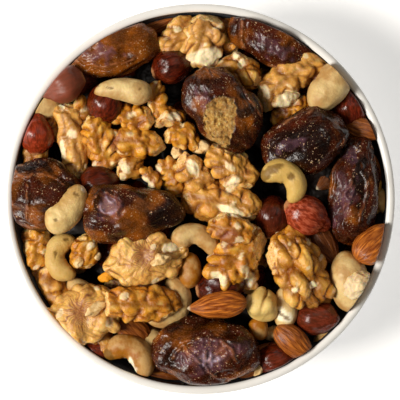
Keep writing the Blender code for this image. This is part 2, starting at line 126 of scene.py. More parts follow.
# Pieces from the bottom of the heap to its top, as in the solids: middle, size and heading
# The tone of a hazelnut or almond is partly its own colour and partly painted shade: those that lie deep
# get low tones, which paint them darker
HEAP = [
    Hazelnut(-50.2, 50.0, 13.4, 12.6, 0, 0.1),
    Hazelnut(-39.3, 40.3, 16.8, 15.5, 60, 0.35),
    Hazelnut(-11.5, 55.9, 16.0, 14.7, 20, 0.2),
    Hazelnut(64.0, 38.2, 16.8, 15.1, 100),
    Hazelnut(-42.2, 6.3, 17.6, 15.1, 15, 0.1),
    Hazelnut(30.4, -7.1, 16.8, 15.5, 80, 0.0),
    Hazelnut(9.0, -36.5, 20.2, 16.8, 10, 0.05),
    Hazelnut(32.5, -67.6, 17.6, 15.1, 20, 0.3),
    Hazelnut(-43.5, -64.7, 13.4, 11.8, 140),
    Almond(52.3, -18.5, 22.7, 11.3, -58, 0.1),
    Almond(69.9, 29.0, 17.6, 9.2, -15),
    Almond(-17.4, 75.2, 19.3, 9.2, 18),
    Almond(-16.6, -74.8, 20.2, 9.7, -12, 0.4),
    Walnut(17.0, 53.3, 21.8, 16.0, -35, 11),
    Walnut(-49.8, 34.9, 17.6, 8.4, 100, 14),
    Walnut(-61.1, 30.7, 13.4, 8.4, 85, 15),
    Walnut(38.9, 37.8, 20.2, 9.2, 25, 16),
    Walnut(-73.3, -18.5, 15.1, 7.6, 78, 17),
    Walnut(-67.8, -34.0, 16.0, 9.2, -60, 18),
    Walnut(-48.5, -22.3, 15.1, 11.8, 75, 19),
    Walnut(44.7, -18.9, 11.8, 8.4, -50, 21),
    Walnut(21.2, -32.8, 15.1, 8.0, 80, 22),
    Walnut(13.7, 65.9, 12.6, 7.6, 75, 25),
    Cashew(6.1, -29.8, 10.1, 5.0, 4.6, 80, 180, 0.55),
    Cashew(-64.9, 50.0, 10.1, 5.9, 5.0, 70, 270, 0.3),
    Cashew(79.2, -10.9, 10.1, 5.0, 5.0, 60, 95),
    Cashew(61.1, -63.4, 9.2, 5.0, 4.6, 70, 140),
    Cashew(1.5, -88.6, 10.1, 4.6, 4.2, 60, 95),
    Date(-36.8, 62.6, 39.5, 23.5, 15),
    Date(-66.1, 1.3, 35.3, 30.2, -10),
    Date(29.6, 67.6, 38.6, 21.8, -25),
    Date(9.9, 37.4, 40.3, 27.7, -52),
    Date(43.5, 23.5, 37.8, 27.7, 28),
    Date(-27.5, -5.9, 44.5, 27.7, 3),
    Date(2.7, -63.8, 44.5, 29.4, -2),
    Date(64.9, 3.8, 47.0, 22.7, 84),
    Cashew(77.5, -32.3, 15.1, 8.4, 8.0, 95, 190, 0.25),
    Cashew(46.4, -37.4, 5.5, 5.0, 4.6, 200, 275, 0.45),
    Cashew(-16.6, -41.6, 8.0, 5.5, 5.0, 200, -30, 0.2),
    Almond(-26.2, -56.7, 23.5, 11.3, -42, 0.3),
    Hazelnut(49.4, -50.0, 18.5, 14.3, -10, 0.3),
    Hazelnut(-56.9, 47.9, 16.8, 16.0, 200, 0.7),
    Hazelnut(-68.7, 27.3, 16.0, 15.1, 90, 0.85),
    Cashew(13.7, -54.2, 11.3, 4.6, 3.4, 50, 0, 0.7),
    Cashew(24.6, -45.8, 11.8, 4.6, 5.0, 85, 0, 0.0),
    Cashew(-54.6, -24.4, 6.6, 4.8, 4.3, 225, 180, 0.35),
    Cashew(-66.3, 6.5, 16.0, 4.8, 8.2, 82, -42, 0.05),
    Walnut(-68.2, -20.6, 18.5, 10.9, 80, 31),
    Walnut(-41.4, 23.5, 26.9, 13.9, -70, 32),
    Walnut(-9.4, 67.6, 22.7, 14.3, 58, 33),
    Walnut(1.5, 66.8, 24.4, 18.5, 82, 34),
    Walnut(38.4, 50.8, 37.0, 14.7, 37, 35),
    Walnut(35.9, 42.0, 12.6, 6.3, 20, 36),
    Cashew(40.5, 58.4, 18.5, 7.6, 7.1, 75, -38, 0.15),
    Walnut(-19.9, 8.8, 12.6, 6.3, -55, 37),
    Walnut(-29.2, 13.4, 12.6, 10.5, 48, 38),
    Walnut(-28.3, 34.9, 19.7, 11.8, -12, 39),
    Walnut(-26.2, 23.5, 25.2, 12.2, -4, 40),
    Walnut(-12.0, 34.0, 13.4, 8.4, 10, 41),
    Walnut(-17.4, 41.2, 17.6, 9.7, 98, 42),
    Walnut(-7.3, 26.0, 15.1, 11.3, -15, 43),
    Walnut(-54.0, 24.4, 36.1, 11.8, 99, 44),
    Cashew(-34.2, 20.6, 25.2, 6.3, 3.4, -55, 85, 0.1),
    Walnut(-11.5, 8.8, 18.5, 10.5, -62, 45),
    Walnut(-48.1, -48.7, 37.8, 26.0, 22, 46),
    Walnut(-24.1, -43.7, 34.4, 15.1, -2, 47),
    Walnut(-22.9, -25.2, 37.0, 22.7, 8, 48),
    Cashew(-2.3, -21.4, 7.1, 5.0, 4.2, 200, 82, 0.3),
    Walnut(15.8, -23.5, 30.2, 19.3, 48, 49),
    Walnut(41.4, -29.4, 37.0, 25.2, -63, 50),
    Walnut(-2.3, 10.9, 19.3, 12.6, -48, 51),
    Walnut(13.2, 13.0, 24.4, 15.1, -42, 52),
    Walnut(13.7, -12.2, 21.0, 11.8, -8, 53),
    Walnut(9.0, -1.7, 34.4, 17.6, -12, 54),
    Cashew(33.8, 5.3, 6.4, 5.3, 4.5, 230, 50, 0.6),
    Hazelnut(44.7, -6.7, 19.3, 16.0, -28, 1.0),
    Almond(7.3, -44.1, 25.2, 10.9, 186, 1.0),
    Almond(73.7, -18.1, 21.8, 14.3, 42, 0.9),
    Almond(40.1, -60.5, 21.0, 11.3, -42, 0.6),
    Skinned(26.2, -44.1, 14.3, 13.4, 80),
    Walnut(66.1, -35.7, 13.4, 11.8, 50, 55),
    Cashew(-31.0, -69.0, 7.4, 4.8, 5.8, 215, 64, 0.62),
]

# Dark gaps between the pieces: middle and radius seen from above
GAPS = [
    (-44, -32, 6.5),
    (26, 4, 6.5),
    (50, 4, 6.5),
    (-58, -38, 5.5),
    (-24, 52, 5.5),
    (-52, -34, 5.0),
    (22, 18, 5.0),
    (-10, 46, 5.0),
    (18, -50, 5.0),
    (29, -32, 5.0),
    (35, 4, 4.5),
    (0, 20, 5.0),
    (-4, -8, 4.5),
    (-62, 18, 4.5),
    (2, -25, 4.5),
    (-20, 16, 4.5),
    (-10, 18, 4.5),
]

# Pieces that lie deeper or higher than they would settle, by where they lie across the bowl
LIFT = {
    -11.5: -2.5,
    -42.2: -2.5,
    30.4: -3.5,
    9.0: -3.0,
    7.3: 1.5,
    66.1: 2.5,
    -66.3: 4.5,
}

# Broken white flesh that shows on walnuts: middle, size, heading, and how far it stands up or is cut in
FLESH = [
    (-11.5, -20.0, 9.0, 4.0, 10, 0.2),
    (8.0, -33.0, 7.5, 5.0, -35, -0.4),
    (47.0, -35.7, 3.4, 3.0, 0, 0.4),
    (39.7, -37.8, 3.0, 2.6, 0, 0.3),
    (-2.7, 13.0, 8.0, 4.6, -60, -0.4),
    (13.7, 6.3, 8.4, 4.6, 60, -0.4),
    (13.0, -5.0, 13.0, 3.8, -20, -0.4),
    (2.5, 59.5, 15.0, 8.0, 6, -0.4),
    (-60.0, 16.0, 3.0, 11.0, 5, -0.5),
    (-58.0, 40.0, 2.6, 7.0, 12, -0.4),
    (-31.5, 13.5, 7.0, 3.6, -55, -0.3),
    (-21.5, 6.5, 8.0, 3.2, -50, -0.4),
    (-11.0, 34.5, 6.0, 3.6, 20, -0.5),
    (-9.5, 71.0, 3.6, 2.6, 0, 0.3),
    (37.0, 42.0, 13.0, 6.5, 20, -0.3),
    (28.0, 44.5, 2.6, 6.5, 20, -0.4),
    (-45.6, -19.6, 4.6, 3.0, 40, -0.2),
    (21.0, -33.5, 4.5, 7.0, 10, 0.2),
    (-8.0, -36.5, 12.0, 3.0, -8, -0.4),
    (-57.5, 21.0, 2.4, 9.0, 8, -0.4),
    (-54.5, 48.0, 4.0, 3.0, 0, 0.0),
    (15.6, 60.5, 3.0, 4.5, -30, 0.3),
    (17.6, 56.7, 4.6, 3.0, 60, -0.3),
]

# Walnut halves that lie with the inner face up: seed, hub and number of folds that fan out from it
FANS = {
    48: (-22.9, -22.7, 10),
    46: (-50.2, -47.9, 11),
}

# Walnut pieces with rounded folds on both sides of a spine: seed, width of a fold, its depth, its slant,
# and how far the ridges run on along the piece
FOLDS = {
    44: (13.0, 0.8, 0.2, 3.6),
    49: (6.2, 1.5, 0.5, 1.4),
    32: (5.2, 1.5, 0.7, 1.4),
    39: (4.6, 1.3, 0.3, 2.0),
    40: (8.4, 1.2, 0.0, 2.2),
    45: (4.2, 1.2, 0.5, 1.4),
    37: (4.0, 0.9, 0.3, 1.4),
    47: (8.0, 1.1, 0.4, 2.2),
    33: (7.0, 1.7, 0.4, 1.8),
    34: (6.4, 1.5, 0.5, 2.0),
    35: (7.4, 1.6, 0.4, 1.4),
    52: (6.6, 1.5, 0.5, 2.0),
    54: (9.0, 1.3, 0.4, 2.6),
    43: (7.0, 1.3, 0.0, 1.4),
    42: (5.6, 1.2, 0.2, 1.4),
    31: (6.0, 1.3, 0.3, 1.4),
    19: (7.5, 0.7, 0.6, 1.4),
    53: (6.0, 1.2, 0.3, 1.4),
    51: (7.0, 1.2, 0.3, 2.0),
}
SHORT_RUN = 1.4

# How pale the skin of a walnut is, by seed
PALE = {44: 0.55, 33: 0.45, 34: 0.55, 35: 0.45, 52: 0.35, 51: 0.35, 54: 0.25}

# The large half with its outer side up: length over width of a lobe, its heading, and how plump it is
LOBES = {50: (1.5, 0.1, 1.12)}

# Walnut pieces that bend sideways: seed, and by how many millimetres
BENT = {44: -1.2, 39: -1.0, 42: 1.2, 43: 1.2, 35: 1.0, 15: 1.0, 41: 0.8}

# How far the ring of painted shade round bare flesh makes its spot wider
FLESH_RING = 1.8

# Flat grey-brown ground on a walnut: middle, size and heading
VEINED = [(12.0, -16.0, 9.0, 8.0, 30), (-35.0, 24.0, 3.0, 9.0, -20)]

# The seed of the knot of bare white flesh
WHITE = 55

# Loose skin on the dates, painted purple-grey: the skin's own bloom, with a painted sheen on its wrinkles
SHEEN = [
    (-37.0, -3.2, 9.5, 10.0, 40),
    (1.0, 41.5, 6.0, 11.0, 20),
    (2.5, -64.5, 27.0, 13.0, 5),
    (-41.0, 61.0, 14.0, 8.0, 5),
    (60.5, 0.0, 9.0, 23.0, -8),
    (63.5, 18.0, 6.0, 9.0, 0),
    (31.0, 63.0, 17.0, 7.0, -25),
    (37.0, 22.0, 14.0, 6.0, 20),
]

# Places where the loose skin is painted pale grey-purple: its bloom, with a painted highlight on its
# wrinkles
BLOOM_AND_HIGHLIGHT = [(-37.6, -2.8, 6.5, 7.5, 40), (3.5, -66.5, 11.0, 6.0, 10)]

# How much amber the skin of a date shows, by where the date lies across the bowl
AMBER = {-36.8: 2.4, -66.1: 0.3, 29.6: 0.5, 9.9: 0.2, 43.5: -0.9, -27.5: 0.9, 2.7: 0.1, 64.9: -0.7}

# How wrinkled a date's skin is, in the same way
WRINKLED = {-36.8: -0.3, -66.1: 0.2, 29.6: -0.7, 9.9: -0.2, 43.5: -0.6, -27.5: -0.4, 2.7: 0.9, 64.9: 1.6}

# Round dents with a raised edge in the dates: middle, radius and depth
DENTS = [
    (-38.3, -2.6, 5.2, 3.4),
    (-31.5, 60.5, 3.5, 0.9),
    (48.0, 27.0, 4.5, 0.8),
    (-60.0, 9.0, 4.0, 0.8),
    (11.0, 50.0, 4.0, 0.7),
]

# Thin raised edges and folds in the dates' skin, each from point to point; the pale colour along the last,
# round the rim of the large dent, is a painted highlight
SKIN_LINES = [
    [(15.0, 48.6), (18.7, 44.9), (21.3, 41.4), (26.6, 33.3)],
    [(6.9, 41.6), (10.3, 40.7), (14.5, 41.2)],
    [(-11.6, -66.6), (-7.1, -59.9), (-0.4, -57.7), (8.5, -58.2), (13.6, -62.1), (15.8, -67.6)],
    [(1.8, -68.8), (-3.1, -64.3), (-6.6, -61.0)],
    [(1.8, -68.8), (2.7, -63.4), (3.5, -59.2)],
    [(1.8, -68.8), (6.9, -64.3), (11.9, -60.9)],
    [(1.8, -68.8), (5.2, -72.7), (9.4, -75.2)],
    [(72.3, 21.7), (74.3, 19.7), (74.0, 16.7)],
    [(60.6, 25.6), (59.4, 20.2), (55.5, 11.1), (54.4, 0.0)],
    [(62.2, 11.3), (64.0, 7.1), (60.0, 2.2), (62.2, -0.8), (58.9, -5.5)],
    [(67.8, 14.3), (70.1, 4.4), (68.9, -3.4), (66.6, -9.7)],
    [(-79.6, 9.9), (-70.9, 9.5), (-65.0, 10.5), (-60.1, 9.0), (-56.1, 6.3)],
    [(-71.4, 6.1), (-70.9, -1.8), (-71.9, -7.7)],
    [(-78.8, -9.2), (-70.9, -11.6), (-65.9, -12.6), (-61.1, -12.2)],
    [(17.8, 74.3), (18.2, 63.6), (22.2, 59.1), (28.1, 56.0), (35.5, 56.4)],
    [(-56.1, 59.6), (-48.1, 55.9), (-37.6, 55.0), (-27.5, 58.4)],
    [(32.5, 30.2), (38.9, 33.6), (46.4, 36.5)],
    [(-38.0, 2.4), (-34.0, 1.2), (-32.6, -3.5), (-34.6, -7.4), (-39.5, -8.2)],
]

# How pale those edges are, by where the date lies across the bowl
FAINT = {64.9: 0.3, 2.7: 0.6}

# Near-black places on the dates: very dark skin, and painted shade at the end of a date that lies under a
# walnut, on the left side of the large dent, on a date's shaded side and along the top edge of the torn
# skin
DARK_SKIN_AND_SHADE = [
    (-69.1, 13.9, 26.9, 5.9, 0),
    (-9.0, -6.3, 15.1, 16.8, 0),
    (-41.4, -2.0, 3.4, 9.0, 0),
    (-14.0, -6.0, 14.0, 20.0, 0),
    (66.6, 9.7, 5.9, 18.5, 5),
    (43.5, 23.5, 29.4, 21.0, 28),
    (19.9, 36.5, 8.4, 14.3, -40),
    (6.5, 41.6, 9.2, 2.5, 0),
]

# How much narrower than the other a date's far end is
TAPER = {-27.5: 0.34, 64.9: 0.1, 29.6: 0.08}

# Torn skin that bares a date's porous tan flesh: the corners of its edge seen from above
TORN = [
    (5.7, 41.2),
    (9.6, 42.2),
    (13.8, 40.9),
    (15.0, 38.2),
    (14.6, 33.2),
    (13.8, 28.0),
    (12.4, 23.4),
    (10.6, 21.2),
    (6.1, 21.8),
    (3.4, 25.6),
    (1.7, 30.6),
    (1.7, 35.2),
    (3.2, 38.8),
]

# How yellow the flesh of a cashew or skinned nut is, by where it lies across the bowl
YELLOW_FLESH = {33.8: 0.7, -54.6: 0.5, 26.2: 0.7, -66.3: 0.15}

# Brown scars on the cashews, and painted shade where holes, dark windows and slits are
SCARS_AND_SHADE = [
    (26.4, 9.4, 6.0, 7.0, 20),
    (31.0, 12.6, 7.5, 4.6, 25),
    (37.8, 9.4, 4.4, 3.4, -30),
    (-51.0, 2.0, 3.0, 1.8, -20),
    (-59.5, -8.8, 2.0, 1.4, -60),
    (-56.0, -17.0, 3.2, 1.6, 10),
    (-60.5, -23.0, 1.6, 2.6, 0),
    (-52.5, -28.5, 3.4, 4.6, 20),
    (-38.0, -66.5, 5.0, 9.0, 10),
    (35.2, -48.9, 8.0, 1.6, -35),
    (-24.5, 45.5, 1.0, 1.0, 0),
    (-43.0, 47.6, 3.8, 1.0, -25),
    (-37.3, 46.2, 4.4, 1.1, -12),
]

# Bare white flesh at a cashew's split end, and painted highlights on two other cashews (the first and last
# spots)
SPLIT_AND_HIGHLIGHT = [(-28.8, -70.6, 5.0, 9.0, 15), (35.4, -48.6, 8.5, 6.0, -35), (-47.5, 4.5, 4.0, 3.0, 0)]

# Hazelnuts with a dull skin, by where they lie across the bowl
DULL = {-56.9: 0.7, 49.4: 0.1}

# Crumbs of broken white flesh down in the gaps: middle, size and heading
CRUMBS = [
    (-16.4, -25.2, 8.0, 5.2, 20),
    (-43.4, -45.6, 9.5, 4.8, 28),
    (-50.6, -26.6, 5.6, 4.0, 60),
    (-43.5, -23.9, 4.0, 4.0, 0),
    (-9.0, 19.7, 6.7, 4.6, 80),
    (0.6, 21.8, 9.2, 6.3, -20),
    (30.0, -57.1, 8.2, 5.9, 10),
    (25.4, -71.4, 7.6, 5.0, 60),
    (-72.0, 18.9, 9.5, 5.0, -10),
    (-39.0, -32.8, 7.0, 4.6, 10),
    (20.5, -42.0, 5.0, 3.0, 60),
]

# Where the bright orange-yellow crumb lies
YOLK = (-39.0, -32.8)


def turned(x, y, degrees):
    """Numbers or arrays x and y, turned about Z."""
    c, s = math.cos(math.radians(degrees)), math.sin(math.radians(degrees))
    return x * c - y * s, x * s + y * c


def unit(vectors):
    return vectors / np.linalg.norm(vectors, axis=-1, keepdims=True)


def wall_radius(height, inset=0.0):
    """Radius of the bowl's inner wall at a height, and of the rim above it."""
    down = (BOWL_HEIGHT - np.asarray(height, float)) / (INSIDE_DEPTH - inset)
    return (RIM_RADIUS - inset) * np.sqrt(1.0 - np.clip(down, 0.0, 0.98) ** 2)


def core_height(radius):
    return CORE_TOP - CORE_DROP * (np.asarray(radius, float) / CORE_RADIUS) ** 2


def ease(low, high, value):
    """0 below low, 1 above high and a smooth rise between them."""
    t = np.clip((value - low) / (high - low), 0.0, 1.0)
    return t * t * (3 - 2 * t)


def ripples(points, wavelength, rng, stretch=(1, 1, 1), waves=36):
    """A smooth uneven field with one wavelength in all directions, mostly between -2 and 2."""
    aim = rng.normal(size=(waves, 3))
    aim *= np.array(stretch) / np.linalg.norm(aim, axis=1, keepdims=True)
    phase = rng.uniform(0, 2 * np.pi, waves)
    turns = points @ aim.T * (2 * np.pi / wavelength) + phase
    return np.cos(turns).sum(axis=1) * math.sqrt(2 / waves)


def lumps(points, spacing, rng, drift):
    """Rounded lumps packed side by side: 0 in the creases and 1 on the tops.

    The second result is an even number from 0 to 1 for each lump."""
    spaced = points / spacing
    spaced = spaced + drift * np.stack([ripples(spaced, 3.1, rng, waves=16) for _ in range(3)], axis=1)
    low, high = np.floor(spaced.min(axis=0)) - 1, np.ceil(spaced.max(axis=0)) + 1
    cells = np.meshgrid(*[np.arange(a, b) for a, b in zip(low, high)], indexing="ij")
    cells = np.stack(cells, axis=3).reshape(-1, 3)
    seeds = cells + rng.uniform(0.08, 0.92, cells.shape)
    shade = rng.uniform(0, 1, len(seeds))
    found, which = [], []
    for start in range(0, len(spaced), 4000):
        some = spaced[start : start + 4000]
        apart = (some**2).sum(axis=1)[:, None] + (seeds**2).sum(axis=1) - 2 * some @ seeds.T
        nearest = np.argpartition(apart, 1, axis=1)[:, :2]
        two = np.sqrt(np.maximum(np.take_along_axis(apart, nearest, axis=1), 0))
        first = np.argmin(two, axis=1)
        found.append(np.abs(two[:, 0] - two[:, 1]))
        which.append(shade[nearest[np.arange(len(some)), first]])
    gap = np.clip(np.concatenate(found) / 0.85, 0, 1)
    return 0.55 * np.sqrt(1 - (1 - gap) ** 2) + 0.45 * ease(0, 0.9, gap), np.concatenate(which)


def patch(points, spot, rng, ragged=0.35):
    """1 inside a spot (x, y, long, wide, turn) seen from above, 0 outside, with an uneven edge."""
    x, y, long, wide, turn = spot[:5]
    along, over = turned(points[:, 0] - x, points[:, 1] - y, -turn)
    reach = np.hypot(along / (long / 2), over / (wide / 2))
    near = reach < 2.2
    found = np.zeros(len(points))
    if near.any():
        uneven = ripples(points[near], max(2.5, min(long, wide) * 0.7), rng, waves=20)
        found[near] = 1 - ease(0.75, 1.1, reach[near] + ragged * 0.5 * uneven)
    return found


def line_distance(points, line):
    """Distance of each point from a bent line seen from above."""
    found = np.full(len(points), 99.0)
    for (ax, ay), (bx, by) in zip(line, line[1:]):
        dx, dy = bx - ax, by - ay
        share = np.clip(((points[:, 0] - ax) * dx + (points[:, 1] - ay) * dy) / (dx * dx + dy * dy), 0, 1)
        found = np.minimum(found, np.hypot(points[:, 0] - ax - share * dx, points[:, 1] - ay - share * dy))
    return found


def enclosed(points, corners):
    """How far each point is inside a closed line seen from above, less than 0 outside it."""
    line = list(corners) + [corners[0]]
    x, y = points[:, 0], points[:, 1]
    odd = np.zeros(len(points), bool)
    for (ax, ay), (bx, by) in zip(line, line[1:]):
        if ay != by:
            odd ^= ((ay > y) != (by > y)) & (x < ax + (y - ay) * (bx - ax) / (by - ay))
    return np.where(odd, 1, -1) * line_distance(points, line)


def closed_faces(rows, sides):
    """Triangles over rows of points, with one more point before the first row and one after the last."""
    ring = 1 + np.arange(rows * sides).reshape(rows, sides)
    after = np.roll(ring, -1, axis=1)
    a, b, c, d = ring[:-1], after[:-1], after[1:], ring[1:]
    faces = [np.stack(corners, axis=2).reshape(-1, 3) for corners in ((a, b, c), (a, c, d))]
    faces.append(np.stack([np.zeros(sides, int), after[0], ring[0]], axis=1))
    faces.append(np.stack([np.full(sides, 1 + rows * sides), ring[-1], after[-1]], axis=1))
    return np.vstack(faces)


def globe(sides, rings):
    """Unit directions all round, with poles at -X and +X, and the triangles between them."""
    polar = np.pi * np.arange(1, rings) / rings
    around = 2 * np.pi * np.arange(sides) / sides
    x = np.repeat(-np.cos(polar), sides)
    share = np.repeat(np.sin(polar), sides)
    phi = np.tile(around, rings - 1)
    body = np.stack([x, share * np.cos(phi), share * np.sin(phi)], axis=1)
    return np.vstack([[-1, 0, 0], body, [1, 0, 0]]), closed_faces(rings - 1, sides)


def ball_for(size, facet):
    """A globe with facets of about one size on an ellipsoid of these half sizes."""
    long, wide, thick = size * 2
    sides = max(12, round(math.pi * (wide + thick) / 2 / facet))
    rings = max(10, round(math.pi * (long + (wide + thick) / 2) / 4 / facet))
    return globe(sides, rings)


def half_sizes(nut):
    return np.array([nut.long, nut.wide, nut.wide * THICKNESS[type(nut)]]) / 2


def from_axis(directions):
    """Distance of each unit direction from the long axis."""
    return np.maximum(np.hypot(directions[:, 1], directions[:, 2]), 1e-6)


def grain_along(directions, share, rng):
    """Coordinates in which fibres run along a piece, somewhere else in the pattern for each piece."""
    return directions * [share, 1, 1] + rng.uniform(-9, 9, 3)


def long_way(stretch, heading):
    """A matrix that shortens space along a heading, so that what is round in it is long outside it."""
    c, s = math.cos(heading), math.sin(heading)
    return np.array([[c, -s, 0], [s, c, 0], [0, 0, 1]]) / np.array([stretch, 1, 1])


def lobe_layout(size, radius, rng, shrink):
    """Middles and radii of rounded lobes laid side by side all over an ellipsoid of these half sizes."""
    aim = unit(rng.normal(size=(1200, 3)))
    area = np.linalg.norm(aim / size, axis=1)
    aim = aim[rng.uniform(0, area.max(), len(aim)) < area]
    flat = (aim * size) @ shrink
    chosen = [0]
    for number in range(1, len(aim)):
        if np.min(np.linalg.norm(flat[chosen] - flat[number], axis=1)) > 1.62 * radius:
            chosen.append(number)
    outward = unit(aim[chosen] / size)
    radii = radius * rng.uniform(0.8, 1.25, len(chosen))
    inset = radii * np.linalg.norm(outward @ np.linalg.inv(shrink).T, axis=1)
    inset += radius * rng.uniform(-0.25, 0.45, len(chosen))
    return aim[chosen] * size - outward * inset[:, None], radii


def shell_reach(start, aim, size):
    """How far each ray from inside an ellipsoid of these half sizes runs before it leaves it."""
    s, d = start / size, aim / size
    q, b, c = (d * d).sum(axis=1), (s * d).sum(axis=1), (s * s).sum(axis=1) - 1
    return (np.sqrt(np.maximum(b * b - q * c, 0)) - b) / q


def lobe_reach(start, aim, middles, radii, shrink, body):
    """How far each ray runs before it leaves the lobes and the body, which run softly together.

    The masks are for painted shade in the creases between lobes, the pale tops of lobes with a painted
    highlight, and an even number for each lobe."""
    s, d, m = start @ shrink, aim @ shrink, middles @ shrink
    q = (d * d).sum(axis=1)[:, None]
    b = d @ m.T - (d * s).sum(axis=1)[:, None]
    c = (m * m).sum(axis=1) + (s * s).sum(axis=1)[:, None] - 2 * s @ m.T - radii**2
    inside = b * b - q * c
    far = np.where(inside > 0, (b + np.sqrt(np.maximum(inside, 0))) / q, 0)
    far = np.hstack([np.maximum(far, 0), body[:, None]])
    two = -np.sort(-far, axis=1)[:, :2]
    reach = two[:, 0] + np.log(np.exp(5 * (far - two[:, :1])).sum(axis=1)) / 5
    first = far.argmax(axis=1)
    tie = two[:, 0] - two[:, 1]
    tie[first == len(radii)] = 0
    shade = np.modf(radii * 7.13)[0]
    masks = {"crease": 1 - ease(0, 2.0, tie), "crown": ease(0.8, 5.0, tie)}
    masks["lump"] = np.append(shade, 0.3)[first]
    return reach, masks


def winding(points, wavelength, rng, stretch=1.0, heading=0.0):
    """Winding ridges with narrow grooves between them: 0 in the grooves and 1 along the ridges."""
    shrunk = points @ long_way(stretch, heading)
    field = ripples(shrunk, wavelength, rng, waves=30)
    field += 0.25 * ripples(shrunk, wavelength * 0.55, rng, waves=20)
    return np.clip(np.abs(field) / 1.15, 0, 1)


def broken_faces(points, size, rng, count, least=0.8):
    """Moves what is past a few uneven planes onto them, as where a nut broke. 1 on the bare faces."""
    bare = np.zeros(len(points))
    for _ in range(count):
        around, up = rng.uniform(0, 2 * math.pi), rng.uniform(0.1, 0.8)
        aim = unit(np.array([math.cos(around), math.sin(around), up]))
        level = rng.uniform(least, 0.93) * np.linalg.norm(aim * size)
        past = points @ aim - level + 0.2 * ripples(points, 3.5, rng) + 0.08 * ripples(points, 1.3, rng)
        points -= np.outer(0.9 * np.maximum(past, 0), aim)
        bare = np.maximum(bare, ease(0.05, 0.3, past))
    return bare


def bend_sideways(nut, points):
    points[:, 1] += BENT.get(nut.seed, 0) * (1 - 2 * (points[:, 0] * 2 / nut.long) ** 2)


def walnut_form(nut, rng, facet):
    """A walnut's outer side or a piece of one: plump lobes with winding ridges and grooves over them."""
    if nut.seed in FANS:
        return fan_form(nut, rng, facet * 0.9)
    if nut.seed in FOLDS:
        return fold_form(nut, rng, facet)
    size = half_sizes(nut)
    directions, faces = ball_for(size, facet)
    stretch, heading, plump = LOBES.get(nut.seed, (1.25, rng.uniform(-1.5, 1.5), 1.0))
    shrink = long_way(stretch, heading)
    middles, radii = lobe_layout(size, 1.25 * plump * min(3.3, 1.2 + 0.11 * nut.wide), rng, shrink)
    start = directions * [0.85 * max(0, size[0] - size[1]), 0, 0]
    body = 0.74 * shell_reach(start, directions, size)
    reach, masks = lobe_reach(start, directions, middles, radii, shrink, body)
    points = start + directions * reach[:, None]
    ridge = winding(points, plump * min(9.5, 5.2 + 0.24 * nut.wide), rng, 0.75 + 0.4 * stretch, heading)
    depth = min(1.7, 0.55 + 0.06 * nut.wide) * min(plump, 1.25)
    move = depth * (ridge**0.5 - 0.62) + 0.16 * ripples(points, 2.8, rng) + 0.07 * ripples(points, 1.5, rng)
    points += directions * move[:, None]
    bend_sideways(nut, points)
    masks["crease"] = np.maximum(0.7 * masks["crease"], 1 - ease(0.0, 0.34, ridge))
    masks["crown"] = ease(0.25, 0.95, ridge) * (0.35 + 0.65 * masks["crown"])
    masks["bare"] = broken_faces(points, size, rng, 3 if nut.long < 30 else 1)
    return points, masks, faces


def fold_form(nut, rng, facet):
    """A piece of walnut with rounded folds that run out on both sides from a spine."""
    size = half_sizes(nut)
    directions, faces = ball_for(size, facet)
    share = from_axis(directions)
    points = directions * size
    points[:, 1:] *= np.minimum(share**-0.35, 2.5)[:, None]
    period, depth, slant, run = FOLDS[nut.seed]
    side = points[:, 1] / size[1]
    shift = np.where(side > 0, rng.uniform(0, period), rng.uniform(0, period))
    along = points[:, 0] + slant * np.abs(points[:, 1]) + 0.13 * period * ripples(points, 11, rng) + shift
    fold = np.abs(np.cos(np.pi * along / period))
    strength = ease(0.0, 0.5, np.abs(side) + 0.1 * ripples(points, 7, rng))
    strength *= 0.35 + 0.65 * ease(-1.6, 0.4, ripples(points, 10, rng))
    spine = np.exp(-((side / 0.2) ** 2)) * (directions[:, 2] > -0.3)
    runs_on = run > SHORT_RUN
    ridge = winding(points, (8.5 + 0.12 * nut.long) * (0.8 if runs_on else 1.0), rng, run)
    groove = 0.6 * spine * ease(-1.0, 1.0, ripples(points, 9, rng))
    move = depth * (1.7 * (fold**0.5 - 0.78) * strength - groove)
    move += (0.95 if runs_on else 0.55) * (ridge**0.5 - 0.8) + 0.4 * ripples(points, 8, rng)
    move += 0.14 * ripples(points, 2.8, rng) + 0.06 * ripples(points, 1.5, rng)
    points = points + directions * move[:, None]
    which = np.modf(np.abs(np.round(along / period)) * 0.37 + 0.5 * (side > 0))[0]
    crease = np.maximum(strength * (1 - ease(0.05, 0.6, fold)), 0.65 * (1 - ease(0.0, 0.34, ridge)))
    masks = {"crease": np.maximum(crease, 0.6 * spine), "lump": which}
    crown = 0.85 * ease(0.35, 0.98, fold) * ease(0.2, 0.9, ridge)
    masks["crown"] = crown * ease(-0.6, 1.2, ripples(points, 5, rng))
    bend_sideways(nut, points)
    masks["bare"] = broken_faces(points, size, rng, 2)
    return points, masks, faces


